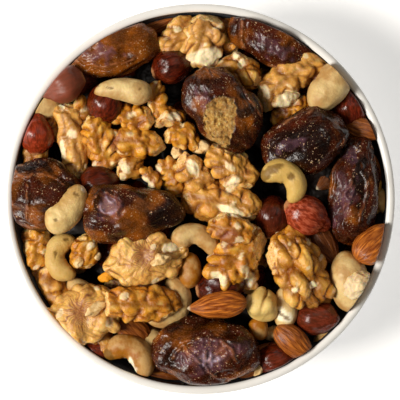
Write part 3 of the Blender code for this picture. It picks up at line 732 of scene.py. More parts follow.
def fan_form(nut, rng, facet):
    """A walnut half with its inner face up: folds that fan out from a hub and end in rounded lobes."""
    size = half_sizes(nut)
    directions, faces = ball_for(size, facet)
    hub_x, hub_y, folds = FANS[nut.seed]
    hub = np.array([*turned(hub_x - nut.x, hub_y - nut.y, -nut.turn), 0.0])
    hub *= min(1.0, 0.8 / math.hypot(*(hub / size)[:2])) if np.any(hub) else 1.0
    angles = 2 * math.pi * (np.arange(folds) + rng.uniform(-0.42, 0.42, folds)) / folds
    outs = np.stack([np.cos(angles), np.sin(angles), 0 * angles], axis=1)
    rim = hub + outs * shell_reach(hub + 0 * outs, outs, size)[:, None]
    gap = sum(np.linalg.norm(rim - np.roll(rim, step, axis=0), axis=1) for step in (1, -1)) / 2
    radii = np.clip(0.52 * gap, 1.5, 3.2) * rng.uniform(0.8, 1.15, folds)
    rim -= outs * (radii - rng.uniform(-1.4, 0.9, folds))[:, None]
    rim[:, 2] = rng.uniform(0.0, 0.3, folds) * size[2]
    start = directions * [0.8 * max(0, size[0] - size[1]), 0, 0]
    body = shell_reach(start, directions, size * [0.91, 0.91, 0.88])
    body += 0.35 * ripples(directions * size, 9, rng)
    reach, masks = lobe_reach(start, directions, rim, radii, np.eye(3), body)
    points = start + directions * reach[:, None]
    tall = size[2] * 0.9
    points[:, 2] = np.sign(points[:, 2]) * np.minimum(np.abs(points[:, 2]) / tall, 1.2) ** 0.6 * tall
    above = ease(-0.2, 0.25, directions[:, 2])
    flat = points * [1, 1, 0.3]
    from_hub = points[:, :2] - hub[:2]
    away = np.hypot(*from_hub.T)
    wobble = 0.2 * ripples(flat, 12, rng) + 0.07 * ripples(flat, 4.5, rng)
    angle = np.arctan2(from_hub[:, 1], from_hub[:, 0]) + wobble * ease(2, 8, away)
    turn = np.abs(np.angle(np.exp(1j * (angle[:, None] - angles))))
    nearest = np.sort(turn, axis=1)[:, :2]
    fold = np.clip((nearest[:, 1] - nearest[:, 0]) * folds / 2 / math.pi * 1.1, 0, 1)
    which = turn.argmin(axis=1)
    outer = ease(0.2, 0.95, away / (size[0] * 0.9))
    deep = rng.uniform(0.2, 1.2, folds)[which] * ease(-1.2, 1.0, ripples(flat, 9, rng))
    cross, shade = lumps(points, 5.0, rng, 0.34)
    lift = -1.5 * deep * outer * (1 - np.sqrt(1 - (1 - fold) ** 2))
    lift += 0.7 * rng.uniform(-1, 1, folds)[which] * fold * outer
    ridge = winding(points, 8.5, rng)
    lift += outer * (0.35 * (cross - 0.8) + 1.1 * (ridge**0.6 - 0.8))
    lift += 0.6 * ripples(flat, 12, rng) + 0.07 * ripples(flat, 2.5, rng)
    lift -= 0.8 * (1 - ease(0.5, 7.0, away))
    points[:, 2] += above * lift
    crease = np.maximum(0.8 * deep * (1 - ease(0, 0.4, fold)), 0.6 * (1 - ease(0.0, 0.3, ridge)))
    masks["crease"] = np.maximum(masks["crease"] * (1 - above), above * outer * crease)
    crown = ease(0.3, 0.9, fold) * (0.3 + 0.7 * ease(0.2, 0.9, ridge))
    masks["crown"] = np.maximum(masks["crown"] * 0.6, above * crown)
    streak = ease(0.1, 0.9, np.abs(np.sin(angle * 15 + 1.0 * ripples(flat, 8, rng))))
    vein = (1 - ease(2.0, 12.5, away)) * (1 - streak)
    vein += 0.6 * (1 - ease(0.5, 7.0, away)) + 0.7 * (1 - ease(0, 0.25, fold)) * (1 - ease(5, 13, away))
    masks["vein"] = np.clip(1.15 * vein, 0, 1) * above
    masks["pale"] = above * (0.45 + 0.45 * shade)
    return points, masks, faces


def date_form(nut, rng, facet):
    size = half_sizes(nut)
    directions, faces = ball_for(size, facet)
    u = directions[:, 0]
    share = from_axis(directions)
    swell = share**-0.2 * (0.97 + 0.03 * np.cos(2 * np.arctan2(directions[:, 2], directions[:, 1])))
    points = directions * size
    points[:, 1:] *= (swell * (1 - TAPER.get(nut.x, 0) * (u + 0.3)))[:, None]
    outward = unit(points / size**2)
    waves = ((20, 2), (13, 1), (13, 1))
    drift = np.stack([ripples(points, wavelength, rng) * share for wavelength, share in waves], axis=1)
    broad = ripples(points, 18, rng)
    dents = ripples(points + drift * 0.5, 8, rng, stretch=(0.6, 1, 1))
    folds = np.clip(1 - np.abs(ripples(points + drift, 8.0, rng, stretch=(0.35, 1, 1))) / 0.55, 0, 1)
    here = ease(-0.1, 0.9, ripples(points, 16, rng))
    fine = np.clip(1 - np.abs(ripples(points + drift * 0.6, 4.4, rng, stretch=(0.28, 1, 1))) / 0.7, 0, 1)
    creased = ease(-0.9, 0.9, ripples(points, 13, rng) + WRINKLED[nut.x])
    move = 0.6 * broad + 0.42 * dents + 0.45 * folds**1.5 * here + 0.05 * ripples(points, 1.5, rng) - 0.6
    move += 0.3 * fine**1.3 * creased
    points = points + outward * move[:, None]
    masks = {"grain": grain_along(directions, 0.5, rng)}
    masks["ridge"] = np.maximum(folds**2 * here, 0.6 * fine**2 * creased)
    amber = ripples(points, 13, rng) + 0.2 * ripples(points, 4, rng) + AMBER[nut.x]
    masks["amber"] = ease(0.0, 1.8, amber)
    return points, masks, faces


def hazelnut_form(nut, rng, facet):
    size = half_sizes(nut)
    directions, faces = ball_for(size, facet)
    u = directions[:, 0]
    phi = np.arctan2(directions[:, 2], directions[:, 1])
    points = directions * size
    points[:, 1:] *= (1.02 - 0.07 * u - 0.06 * u**2)[:, None]
    points[:, 0] += (0.5 + 1.6 * (nut.tone > 0.55)) * ease(0.8, 1.0, u) - 0.9 * ease(0.84, 1.0, -u)
    ribs = np.cos(phi * 9 + 1.5 * ripples(points, 12, rng)) * 0.07
    ribs += np.cos(phi * 23 + ripples(points, 9, rng)) * 0.035
    flats = 0.26 * ripples(points, 13, rng) + 0.1 * ripples(points, 6, rng)
    points = points + directions * (ribs + flats)[:, None]
    masks = {"grain": grain_along(directions, 0.35, rng), "scar": ease(0.93, 0.98, -u)}
    masks["tone"] = np.full(len(u), nut.tone)
    masks["dull"] = np.full(len(u), DULL.get(nut.x, 0.0))
    return points, masks, faces


def skinned_form(nut, rng, facet):
    """A hazelnut without its skin, split by a deep furrow."""
    size = half_sizes(nut)
    directions, faces = ball_for(size, facet)
    points = directions * size
    bend = directions[:, 1] + 0.2 * directions[:, 0] + 0.05 * ripples(directions, 1.2, rng)
    furrow = np.exp(-((bend / 0.07) ** 2)) * ease(-0.7, 0.1, directions[:, 0])
    move = 0.4 * ripples(points, 8, rng) - 1.0 * furrow - 0.7 * np.exp(-((bend / 0.3) ** 2))
    points = points + directions * move[:, None]
    # The furrow is painted darker: painted shade in it
    masks = {"tone": 0.1 + 0.12 * ripples(points, 9, rng), "crease": furrow}
    masks["grain"] = grain_along(directions, 1, rng)
    masks["yellow"] = np.full(len(points), YELLOW_FLESH[nut.x])
    return points, masks, faces


def almond_form(nut, rng, facet):
    size = half_sizes(nut)
    directions, faces = ball_for(size, facet)
    u = directions[:, 0]
    share = from_axis(directions)
    phi = np.arctan2(directions[:, 2], directions[:, 1])
    swell = np.maximum(1 - u, 0) ** 0.8 * np.maximum(1 + u, 0) ** 0.5
    points = directions * size
    points[:, 1:] *= (swell / share)[:, None]
    ribs = np.cos(phi * 14 + 2.2 * ripples(points, 16, rng)) * 0.13
    ribs += np.cos(phi * 31 + ripples(points, 9, rng)) * 0.05
    round_axis = directions[:, 1:] / share[:, None]
    points[:, 1:] += round_axis * (ribs * ease(0, 0.3, swell))[:, None]
    points = points + directions * (0.15 * ripples(points, 9, rng))[:, None]
    masks = {"grain": np.column_stack([u * 0.3, round_axis]) + rng.uniform(-9, 9, 3)}
    masks["tone"] = np.full(len(u), nut.tone)
    masks["tip"] = ease(0.88, 0.97, u)
    masks["ribs"] = 0.5 + ribs * 2.5
    return points, masks, faces


def cashew_form(nut, rng, facet):
    """A tapered tube with round ends, bent round its centre of curl."""
    middle = (nut.head + nut.tail) / 2
    length = math.radians(abs(nut.sweep)) * nut.ring
    directions, faces = ball_for(np.array([max(length / 2, middle), middle, middle]), facet)
    u = directions[:, 0]
    share = from_axis(directions)
    across, up = directions[:, 1] / share, directions[:, 2] / share
    radius = (nut.head * (1 - u) + nut.tail * (1 + u)) / 2
    radius = radius * np.sqrt(np.maximum(0, 1 - np.abs(u) ** 3.5))
    straight = np.stack([u * length / 2, radius * across, radius * up], axis=1) + [nut.x, nut.y, 0]
    uneven = 0.045 if nut.ring < 15 else 0.02
    radius = radius * (1 + uneven * ripples(straight, 11, rng) + 0.012 * ripples(straight, 4, rng))
    # The seam is painted darker: painted shade in its groove
    seam = np.exp(-((up - 0.12 * ripples(straight, 12, rng)) / 0.07) ** 2) * (across < 0)
    radius = radius - 0.5 * seam * (radius > 1)
    angle = -np.radians(nut.sweep) / 2 * u
    out = nut.ring + radius * across
    points = np.stack([out * np.cos(angle), out * np.sin(angle), radius * up * 0.92], axis=1)
    grain = np.stack([u, across, up], axis=1) + rng.uniform(-9, 9, 3)
    # Painted shade: the inner side of the curl and the ends are darker
    tone = nut.tone + 0.25 * np.clip(-across, 0, 1) + 0.25 * np.abs(u) ** 3
    return points, {"grain": grain, "tone": tone, "crease": seam}, faces


def crumb_form(long, wide, rng):
    """A chip of broken flesh with flat uneven sides."""
    size = np.array([long, wide, wide]) / 2
    directions, faces = ball_for(size, CRUMB_FACET)
    sides = unit(rng.normal(size=(CRUMB_SIDES, 3)))
    depth = rng.uniform(0.66, 1.0, CRUMB_SIDES)
    across = directions @ sides.T
    reach = np.min(np.where(across > 0.05, depth / np.maximum(across, 0.05), 9), axis=1)
    reach = np.minimum(reach, 1.15)
    points = directions * reach[:, None] * size
    move = 0.14 * ripples(points, 2.0, rng) + 0.2 * ripples(points, 4.0, rng)
    return points + directions * move[:, None], {}, faces


FORMS = {
    Date: date_form,
    Hazelnut: hazelnut_form,
    Skinned: skinned_form,
    Almond: almond_form,
    Walnut: walnut_form,
    Cashew: cashew_form,
}


def tilted(points, roll, pitch):
    """Points turned a little about X and then Y."""
    x, y, z = points.T
    c, s = math.cos(roll), math.sin(roll)
    y, z = y * c - z * s, y * s + z * c
    c, s = math.cos(pitch), math.sin(pitch)
    return np.stack([x * c + z * s, y, z * c - x * s], axis=1)


def placed(points, x, y, z, turn):
    along, over = turned(points[:, 0], points[:, 1], turn)
    return np.stack([x + along, y + over, z + points[:, 2]], axis=1)


def pressed(points):
    """The points with those near the wall moved in, as pieces are pushed up against the bowl."""
    x, y, z = points.T
    radius = np.hypot(x, y)
    start = wall_radius(z, CLEARANCE) - GIVE
    squeezed = start + GIVE * np.tanh((radius - start) / GIVE)
    share = np.where(radius > start, squeezed / np.maximum(radius, 1e-6), 1.0)
    return np.stack([x * share, y * share, z], axis=1)


def half_height(nut, x, y):
    """Half the thickness of a piece over each (x, y), and NaN outside it."""
    if type(nut) is Cashew:
        u = np.linspace(-0.85, 0.85, 9)
        radius = (nut.head * (1 - u) + nut.tail * (1 + u)) / 2
        angle = np.radians(nut.turn - nut.sweep / 2 * u)
        beads = zip(nut.x + nut.ring * np.cos(angle), nut.y + nut.ring * np.sin(angle), radius)
        found = np.max([r * r - (x - a) ** 2 - (y - b) ** 2 for a, b, r in beads], axis=0)
        return np.where(found > 0, np.sqrt(np.maximum(found, 0)), np.nan)
    along, over = turned(x - nut.x, y - nut.y, -nut.turn)
    found = 1 - (along / (nut.long / 2)) ** 2 - (over / (nut.wide / 2)) ** 2
    thick = nut.wide * THICKNESS[type(nut)] / 2
    return np.where(found > 0, thick * np.sqrt(np.maximum(found, 0)), np.nan)


def settle(heap):
    """Height of each piece's middle, laid one after another on what is there, and the heap's final top."""
    steps = np.arange(-RIM_RADIUS, RIM_RADIUS + GRID_CELL, GRID_CELL)
    x, y = np.meshgrid(steps, steps)
    radius = np.hypot(x, y)
    ground = core_height(radius)
    heights = []
    for nut in heap:
        rise = half_height(nut, x, y)
        under = np.isfinite(rise) & (radius < CORE_RADIUS)
        height = float(np.quantile((ground + rise)[under], BEDDING)) - SUNK
        height = min(height, float(core_height(math.hypot(nut.x, nut.y))) + MOST_ABOVE_CORE)
        ground = np.fmax(ground, height + rise)
        heights.append(height)
    return heights, (x, y, ground)


def joined_mesh(name, parts):
    """One object from the (points in millimetres, masks, triangles) of many pieces."""
    starts = np.cumsum([0] + [len(points) for points, _, _ in parts])
    points = np.vstack([p for p, _, _ in parts]) * MM
    faces = np.vstack([faces + start for (_, _, faces), start in zip(parts, starts)])
    mesh = bpy.data.meshes.new(name)
    mesh.vertices.add(len(points))
    mesh.vertices.foreach_set("co", points.astype(np.float32).ravel())
    mesh.loops.add(faces.size)
    mesh.loops.foreach_set("vertex_index", faces.astype(np.int32).ravel())
    mesh.polygons.add(len(faces))
    mesh.polygons.foreach_set("loop_start", np.arange(0, faces.size, 3, dtype=np.int32))
    mesh.update(calc_edges=True)
    mesh.validate()
    for key in sorted({key for _, masks, _ in parts for key in masks}):
        vector = key == "grain"
        values = [masks.get(key, np.zeros((len(p), 3) if vector else len(p))) for p, masks, _ in parts]
        attribute = mesh.attributes.new(key, "FLOAT_VECTOR" if vector else "FLOAT", "POINT")
        data = np.concatenate(values).astype(np.float32).ravel()
        attribute.data.foreach_set("vector" if vector else "value", data)
    mesh.shade_smooth()
    obj = bpy.data.objects.new(name, mesh)
    bpy.context.scene.collection.objects.link(obj)
    return obj


# Shader building


class Shading:
    """A node tree that is being built, with short ways to add nodes to it."""

    def __init__(self, tree):
        self.tree = tree

    def put(self, value, socket):
        """Joins a socket to another, or sets it to a value."""
        if isinstance(value, bpy.types.NodeSocket):
            self.tree.links.new(value, socket)
        else:
            socket.default_value = value

    def node(self, kind, settings=None, **inputs):
        """A node with its inputs set to values or joined to sockets; _ in a name stands for a space."""
        made = self.tree.nodes.new(kind)
        for key, value in (settings or {}).items():
            setattr(made, key, value)
        for key, value in inputs.items():
            self.put(value, made.inputs[key.replace("_", " ")])
        return made

    def effect(self, group, **inputs):
        return self.node("ShaderNodeGroup", {"node_tree": group}, **inputs).outputs

    def sums(self, operation, a, b=0.0, clamp=False):
        made = self.node("ShaderNodeMath", {"operation": operation, "use_clamp": clamp})
        self.put(a, made.inputs[0])
        self.put(b, made.inputs[1])
        return made.outputs[0]

    def times(self, a, b):
        return self.sums("MULTIPLY", a, b)

    def plus(self, a, b):
        return self.sums("ADD", a, b)

    def larger(self, a, b):
        return self.sums("MAXIMUM", a, b)

    def spread(self, value, low, high, to_low=0.0, to_high=1.0):
        """A smooth rise from one number to another while the value goes from low to high."""
        made = self.node("ShaderNodeMapRange", {"interpolation_type": "SMOOTHSTEP"}, Value=value)
        for key, number in zip(("From Min", "From Max", "To Min", "To Max"), (low, high, to_low, to_high)):
            made.inputs[key].default_value = number
        return made.outputs["Result"]

    def noise(self, place, scale, **inputs):
        return self.node("ShaderNodeTexNoise", Vector=place, Scale=scale, **inputs)

    def place(self):
        return self.node("ShaderNodeTexCoord").outputs["Object"]


class Surface(Shading):
    """A material that is being built: layers of colour are laid one over another on its base."""

    def __init__(self, name, mottle, coarse, fine):
        self.material = bpy.data.materials.new(name)
        self.material.use_nodes = True
        super().__init__(self.material.node_tree)
        self.shader = self.tree.nodes["Principled BSDF"].inputs
        tones = self.effect(mottle, Coarse=coarse, Fine=fine)
        self.tone, self.grit = tones["Tone"], tones["Grit"]

    def mask(self, name, share=1.0):
        """A mask that the pieces carry, weakened to a share of itself."""
        found = self.node("ShaderNodeAttribute", {"attribute_name": name}).outputs["Fac"]
        return found if share == 1.0 else self.times(found, share)

    def fibre(self, fibres, scale):
        grain = self.node("ShaderNodeAttribute", {"attribute_name": "grain"}).outputs["Vector"]
        return self.effect(fibres, Grain=grain, Scale=scale)["Fibre"]

    def speck(self, specks, scale, size, share):
        return self.effect(specks, Scale=scale, Size=size, Share=share)["Speck"]

    def blend(self, factor, a, b):
        """a where the factor is 0 and b where it is 1: each is a socket, or a screen colour to 255."""
        made = self.node("ShaderNodeMix", {"data_type": "RGBA"})
        for value, number in ((factor, 0), (a, 6), (b, 7)):
            self.put(colour(*value) if isinstance(value, tuple) else value, made.inputs[number])
        return made.outputs[2]

    def layer(self, factor, over):
        self.base = self.blend(factor, self.base, over)

    def done(self, rough, height, distance, specular=0.5, glow=()):
        """The material, with its colour, roughness, relief and glow from inside joined to the shader."""
        self.put(self.base, self.shader["Base Color"])
        self.put(rough, self.shader["Roughness"])
        relief = self.node("ShaderNodeBump", Distance=distance, Height=height)
        self.put(relief.outputs["Normal"], self.shader["Normal"])
        self.shader["Specular IOR Level"].default_value = specular
        for name, value in zip(("Weight", "Radius", "Scale"), glow):
            self.shader["Subsurface " + name].default_value = value
        return self.material


def colour(*screen):
    """A screen colour from 0 to 255 as the linear colour that a shader takes."""
    shares = [number / 255 for number in screen]
    return (*[c / 12.92 if c <= 0.04045 else ((c + 0.055) / 1.055) ** 2.4 for c in shares], 1.0)


def new_group(name, inputs, outputs):
    tree = bpy.data.node_groups.new(name, "ShaderNodeTree")
    for label, kind, default in inputs:
        socket = tree.interface.new_socket(label, in_out="INPUT", socket_type=kind)
        socket.default_value = default
    for label in outputs:
        tree.interface.new_socket(label, in_out="OUTPUT", socket_type="NodeSocketFloat")
    return Shading(tree), tree.nodes.new("NodeGroupInput").outputs, tree.nodes.new("NodeGroupOutput").inputs


def make_mottle():
    """Uneven tone over the surface, coarse and fine."""
    inputs = [("Coarse", "NodeSocketFloat", 150.0), ("Fine", "NodeSocketFloat", 900.0)]
    group, given, out = new_group("mottle", inputs, ["Tone", "Grit"])
    place = group.place()
    coarse = group.noise(place, given["Coarse"], Detail=3.0, Roughness=0.6)
    fine = group.noise(place, given["Fine"], Detail=3.0, Roughness=0.65)
    group.put(group.spread(coarse.outputs["Fac"], 0.3, 0.7), out["Tone"])
    group.put(group.spread(fine.outputs["Fac"], 0.25, 0.75), out["Grit"])
    return group.tree


def make_specks():
    """Scattered small round specks, such as crumbs of sugar."""
    numbers = {"Scale": 500.0, "Size": 0.2, "Share": 0.3}
    inputs = [(name, "NodeSocketFloat", value) for name, value in numbers.items()]
    group, given, out = new_group("specks", inputs, ["Speck"])
    place = group.place()
    shifted = group.node("ShaderNodeVectorMath", {"operation": "MULTIPLY_ADD"})
    group.put(group.noise(place, 1400.0).outputs["Color"], shifted.inputs[0])
    shifted.inputs[1].default_value = (0.0013, 0.0013, 0.0013)
    group.put(place, shifted.inputs[2])
    cells = group.node("ShaderNodeTexVoronoi", Vector=shifted.outputs[0], Scale=given["Scale"])
    near = group.sums("LESS_THAN", cells.outputs["Distance"], given["Size"])
    pick = group.node("ShaderNodeSeparateColor", Color=cells.outputs["Color"]).outputs[0]
    group.put(group.times(near, group.sums("LESS_THAN", pick, given["Share"])), out["Speck"])
    return group.tree


def make_fibres():
    """Lengthwise fibres in a skin."""
    inputs = [("Grain", "NodeSocketVector", (0, 0, 0)), ("Scale", "NodeSocketFloat", 8.0)]
    group, given, out = new_group("fibres", inputs, ["Fibre"])
    noise = group.noise(given["Grain"], given["Scale"], Detail=4.0, Roughness=0.6)
    group.put(group.spread(noise.outputs["Fac"], 0.33, 0.67), out["Fibre"])
    return group.tree


def walnut_material(mottle):
    skin = Surface("walnut_skin", mottle, 170.0, 1100.0)
    skin.base = skin.blend(skin.tone, (196, 113, 0), (232, 162, 38))
    skin.layer(skin.mask("tone", 0.35), (190, 106, 0))
    # Pale crests: the skin's own paler colour, with a painted highlight on the tops of the lobes and folds
    crown = skin.times(skin.mask("crown"), skin.spread(skin.mask("lump"), 0.1, 0.9, 0.45, 1.0))
    skin.layer(crown, (250, 210, 118))
    skin.layer(skin.mask("pale", 0.7), (244, 200, 122))
    skin.layer(skin.times(skin.grit, 0.18), (246, 206, 112))
    # Painted shade in the creases between lobes and folds, along the spine, on the lower sides and round
    # bare flesh
    skin.layer(skin.mask("crease", 0.92), (104, 38, 0))
    skin.layer(skin.mask("vein", 0.85), (138, 72, 50))
    skin.layer(skin.mask("bare", 0.85), skin.blend(skin.grit, (232, 176, 92), (250, 220, 158)))
    skin.layer(skin.mask("flesh"), (248, 228, 184))
    rough = skin.spread(skin.grit, 0, 1, 0.2, 0.36)
    return skin.done(rough, skin.grit, 0.00012, 0.45, (0.32, (1.0, 0.42, 0.06), 0.0016))


def date_material(mottle, specks, fibres):
    skin = Surface("date_skin", mottle, 140.0, 1500.0)
    tone, grit, fibre = skin.tone, skin.grit, skin.fibre(fibres, 5.0)
    skin.base = skin.blend(tone, (26, 6, 0), (72, 22, 4))
    amber = skin.times(skin.mask("amber"), skin.spread(tone, 0, 1, 0.35, 1.0))
    skin.layer(skin.times(amber, 0.9), (146, 78, 12))
    mottled = skin.spread(grit, 0.45, 0.95, 0.0, 0.5)
    skin.layer(skin.times(mottled, skin.spread(amber, 0.0, 0.5, 0.25, 1.0)), (150, 88, 34))
    skin.layer(skin.times(skin.mask("ridge"), skin.times(fibre, 0.45)), (106, 50, 26))
    # Very dark skin, and painted shade where parts of dates lie in shade
    skin.layer(skin.mask("dark", 0.8), (12, 4, 2))
    # The loose skin's own grey-purple bloom, with a painted sheen on its wrinkles
    skin.layer(skin.times(skin.mask("sheen"), skin.spread(tone, 0, 1, 0.45, 0.85)), (116, 80, 92))
    # Pale grey-purple bloom, with a painted highlight on its wrinkles
    skin.layer(skin.mask("bloom", 0.8), (176, 158, 178))
    # Pale raised edges of the skin; along the rim of the large dent the pale line is a painted highlight
    skin.layer(skin.mask("line", 0.75), (172, 108, 66))

    # The flesh that torn skin bares
    grains = skin.times(skin.speck(specks, 640.0, 0.46, 0.75), skin.plus(0.35, grit))
    flesh = skin.blend(grit, (188, 128, 52), (240, 198, 110))
    flesh = skin.blend(skin.times(grains, 0.6), flesh, (255, 230, 156))
    flesh = skin.blend(skin.times(tone, 0.4), flesh, (164, 96, 40))
    pits = skin.speck(specks, 750.0, 0.36, 0.2)
    flesh = skin.blend(skin.times(skin.larger(pits, skin.mask("pits")), 0.6), flesh, (110, 56, 8))
    torn = skin.mask("torn")
    skin.layer(torn, flesh)

    # Sugar
    coarse, fine = skin.speck(specks, 620.0, 0.2, 0.24), skin.speck(specks, 1350.0, 0.3, 0.3)
    sugar = skin.times(skin.larger(coarse, fine), skin.spread(tone, 0.25, 0.7))
    skin.layer(skin.times(sugar, 0.8), (222, 186, 146))
    rough = skin.plus(skin.spread(grit, 0.2, 0.8, 0.17, 0.33), skin.times(torn, 0.35))
    height = skin.plus(skin.times(grit, 0.12), skin.times(fibre, 0.1))
    height = skin.plus(height, skin.times(sugar, 0.8))
    height = skin.plus(height, skin.times(skin.times(grit, torn), 1.6))
    height = skin.sums("SUBTRACT", height, skin.times(skin.times(pits, torn), 2.0))
    return skin.done(rough, height, 0.0003, 0.3, (0.12, (1.0, 0.22, 0.04), 0.0025))


def cashew_material(mottle):
    skin = Surface("cashew_flesh", mottle, 120.0, 900.0)
    # The tone mask holds each cashew's own tone, and painted shade on the inner side of its curl and at its
    # ends
    tone = skin.sums("ADD", skin.mask("tone"), skin.spread(skin.tone, 0, 1, -0.1, 0.4), clamp=True)
    skin.base = skin.blend(tone, (230, 202, 140), (162, 99, 14))
    skin.layer(skin.mask("yellow"), (228, 194, 108))
    # Painted shade in the cashew's seam and in the skinned hazelnut's furrow
    skin.layer(skin.mask("crease", 0.7), (140, 88, 36))
    # Bare white flesh, and painted highlights
    skin.layer(skin.mask("pale"), (252, 240, 208))
    # Brown scars, and painted shade in holes, windows and slits
    skin.layer(skin.mask("scar", 0.8), (112, 78, 22))
    rough = skin.spread(skin.grit, 0, 1, 0.34, 0.5)
    return skin.done(rough, skin.grit, 0.00012, 0.3, (0.2, (1.0, 0.55, 0.2), 0.002))


def hazelnut_material(mottle, fibres):
    skin = Surface("hazelnut_skin", mottle, 130.0, 1200.0)
    tone, fibre = skin.mask("tone"), skin.fibre(fibres, 7.0)
    lit_skin = skin.blend(fibre, (46, 6, 0), (142, 40, 8))
    # A low tone blends in a near-black copy of the skin: painted shade on hazelnuts that lie deep in the
    # heap
    skin.base = skin.blend(tone, skin.blend(0.8, lit_skin, (30, 3, 0)), lit_skin)
    # Brighter fibres and pale stripes on the high-tone hazelnut that lies on top: partly the skin's own
    # streaks and partly painted light
    bright = skin.times(skin.spread(tone, 0.5, 1.0, 0.0, 0.8), skin.spread(fibre, 0, 1, 0.4, 1.0))
    skin.layer(bright, (156, 52, 24))
    stripes = skin.times(skin.spread(tone, 0.86, 1.0, 0.0, 0.28), skin.spread(fibre, 0.35, 1.0))
    skin.layer(stripes, (220, 132, 96))
    skin.layer(skin.times(skin.tone, 0.12), (184, 88, 44))
    skin.layer(skin.mask("dull"), (134, 72, 50))
    skin.layer(skin.mask("scar", 0.8), (196, 140, 92))
    rough = skin.plus(skin.spread(fibre, 0, 1, 0.16, 0.28), skin.mask("dull", 0.3))
    return skin.done(rough, fibre, 0.00006, 0.42)


def almond_material(mottle, fibres):
    skin = Surface("almond_skin", mottle, 140.0, 1300.0)
    fibre = skin.fibre(fibres, 8.0)
    lines = skin.times(fibre, skin.spread(skin.mask("ribs"), 0.2, 0.8, 0.4, 1.0))
    lit_skin = skin.blend(lines, (122, 50, 6), (234, 136, 40))
    # A low tone blends in a near-black copy of the skin: painted shade on almonds that lie deep in the heap
    skin.base = skin.blend(skin.mask("tone"), skin.blend(0.82, lit_skin, (58, 18, 2)), lit_skin)
    skin.layer(skin.times(skin.grit, 0.07), (222, 158, 96))
    skin.layer(skin.mask("tip"), (240, 220, 180))
    return skin.done(skin.spread(fibre, 0, 1, 0.26, 0.42), fibre, 0.00012, 0.35)


def crumb_material(mottle):
    surface = Surface("broken_flesh", mottle, 300.0, 1300.0)
    surface.base = surface.blend(surface.tone, (220, 168, 92), (250, 222, 166))
    surface.layer(surface.mask("yolk"), (240, 156, 0))
    return surface.done(0.55, surface.grit, 0.0002)


def shade_core_material(mottle):
    # Near-black painted shade that shows in the gaps down into the heap
    surface = Surface("deep_heap", mottle, 90.0, 700.0)
    surface.base = surface.blend(surface.tone, (8, 3, 1), (26, 12, 5))
    return surface.done(0.6, surface.tone, 0.0015)


def glaze_material(mottle):
    """Glaze that is white outside and slate-grey inside the bowl."""
    surface = Surface("glaze", mottle, 60.0, 500.0)
    slate = surface.blend(surface.tone, (58, 62, 70), (104, 108, 116))
    white = surface.blend(surface.times(surface.tone, 0.35), (242, 241, 238), (228, 226, 220))
    surface.base = surface.blend(surface.mask("inside"), white, slate)
    return surface.done(0.22, surface.grit, 0.00003)


def floor_material(mottle):
    surface = Surface("floor", mottle, 3.0, 60.0)
    shader = surface.shader
    surface.put(surface.blend(surface.tone, (246, 246, 245), (250, 250, 250)), shader["Base Color"])
    shader["Emission Color"].default_value = (1.0, 1.0, 1.0, 1.0)
    shader["Emission Strength"].default_value = 0.45
    shader["Roughness"].default_value = 0.8
    return surface.material


# Pieces


def quarter(radius, depth, low, steps):
    start = math.asin((BOWL_HEIGHT - low) / depth)
    angles = [start * (1 - i / steps) for i in range(steps + 1)]
    return [(radius * math.cos(a), BOWL_HEIGHT - depth * math.sin(a)) for a in angles]


def turned_solid(profile, segments):
    """Points and triangles of a (radius, height) profile turned round Z, with both ends on the axis."""
    angle = 2 * np.pi * np.arange(segments) / segments
    ring = np.array(profile[1:-1])
    ways = [(0, np.cos(angle)), (0, np.sin(angle)), (1, np.ones(segments))]
    rows = np.stack([np.outer(ring[:, column], share) for column, share in ways], axis=2).reshape(-1, 3)
    points = np.vstack([[0, 0, profile[0][1]], rows, [0, 0, profile[-1][1]]])
    faces = closed_faces(len(ring), segments)
    a, b, c = points[faces[:, 0]], points[faces[:, 1]], points[faces[:, 2]]
    inside_out = np.einsum("ij,ij->", a, np.cross(b, c)) < 0
    return points, faces[:, ::-1] if inside_out else faces


def make_bowl(material):
    low = BOWL_HEIGHT - INSIDE_DEPTH
    inside = quarter(RIM_RADIUS, INSIDE_DEPTH, low, 40)
    inside[0] = (0.0, low)
    outer_radius, outer_depth = RIM_RADIUS + WALL, INSIDE_DEPTH + WALL
    foot_top = BOWL_HEIGHT - outer_depth * math.sqrt(1 - (FOOT_RADIUS / outer_radius) ** 2)
    rim = [
        (RIM_RADIUS + 0.5 * WALL * (1 - math.cos(a)), BOWL_HEIGHT + 0.4 * WALL * math.sin(a))
        for a in np.linspace(0, math.pi, 13)[1:-1]
    ]
    foot = [
        (FOOT_RADIUS, foot_top - 1.0),
        (FOOT_RADIUS, 0.6),
        (FOOT_RADIUS - 0.2, 0.2),
        (FOOT_RADIUS - 0.6, 0.0),
        (FOOT_RADIUS - FOOT_WIDTH, 0.0),
        (FOOT_RADIUS - FOOT_WIDTH - 1.0, FOOT_RECESS),
        (0.0, FOOT_RECESS),
    ]
    profile = inside + rim + quarter(outer_radius, outer_depth, foot_top, 30)[::-1] + foot
    points, faces = turned_solid(profile, BOWL_SIDES)
    rings = np.concatenate([[0], 1 + np.arange(len(points) - 2) // BOWL_SIDES, [len(profile)]])
    bowl = joined_mesh("glazed_bowl", [(points, {"inside": (rings < len(inside)).astype(float)}, faces)])
    bowl.data.materials.append(material)
    return bowl


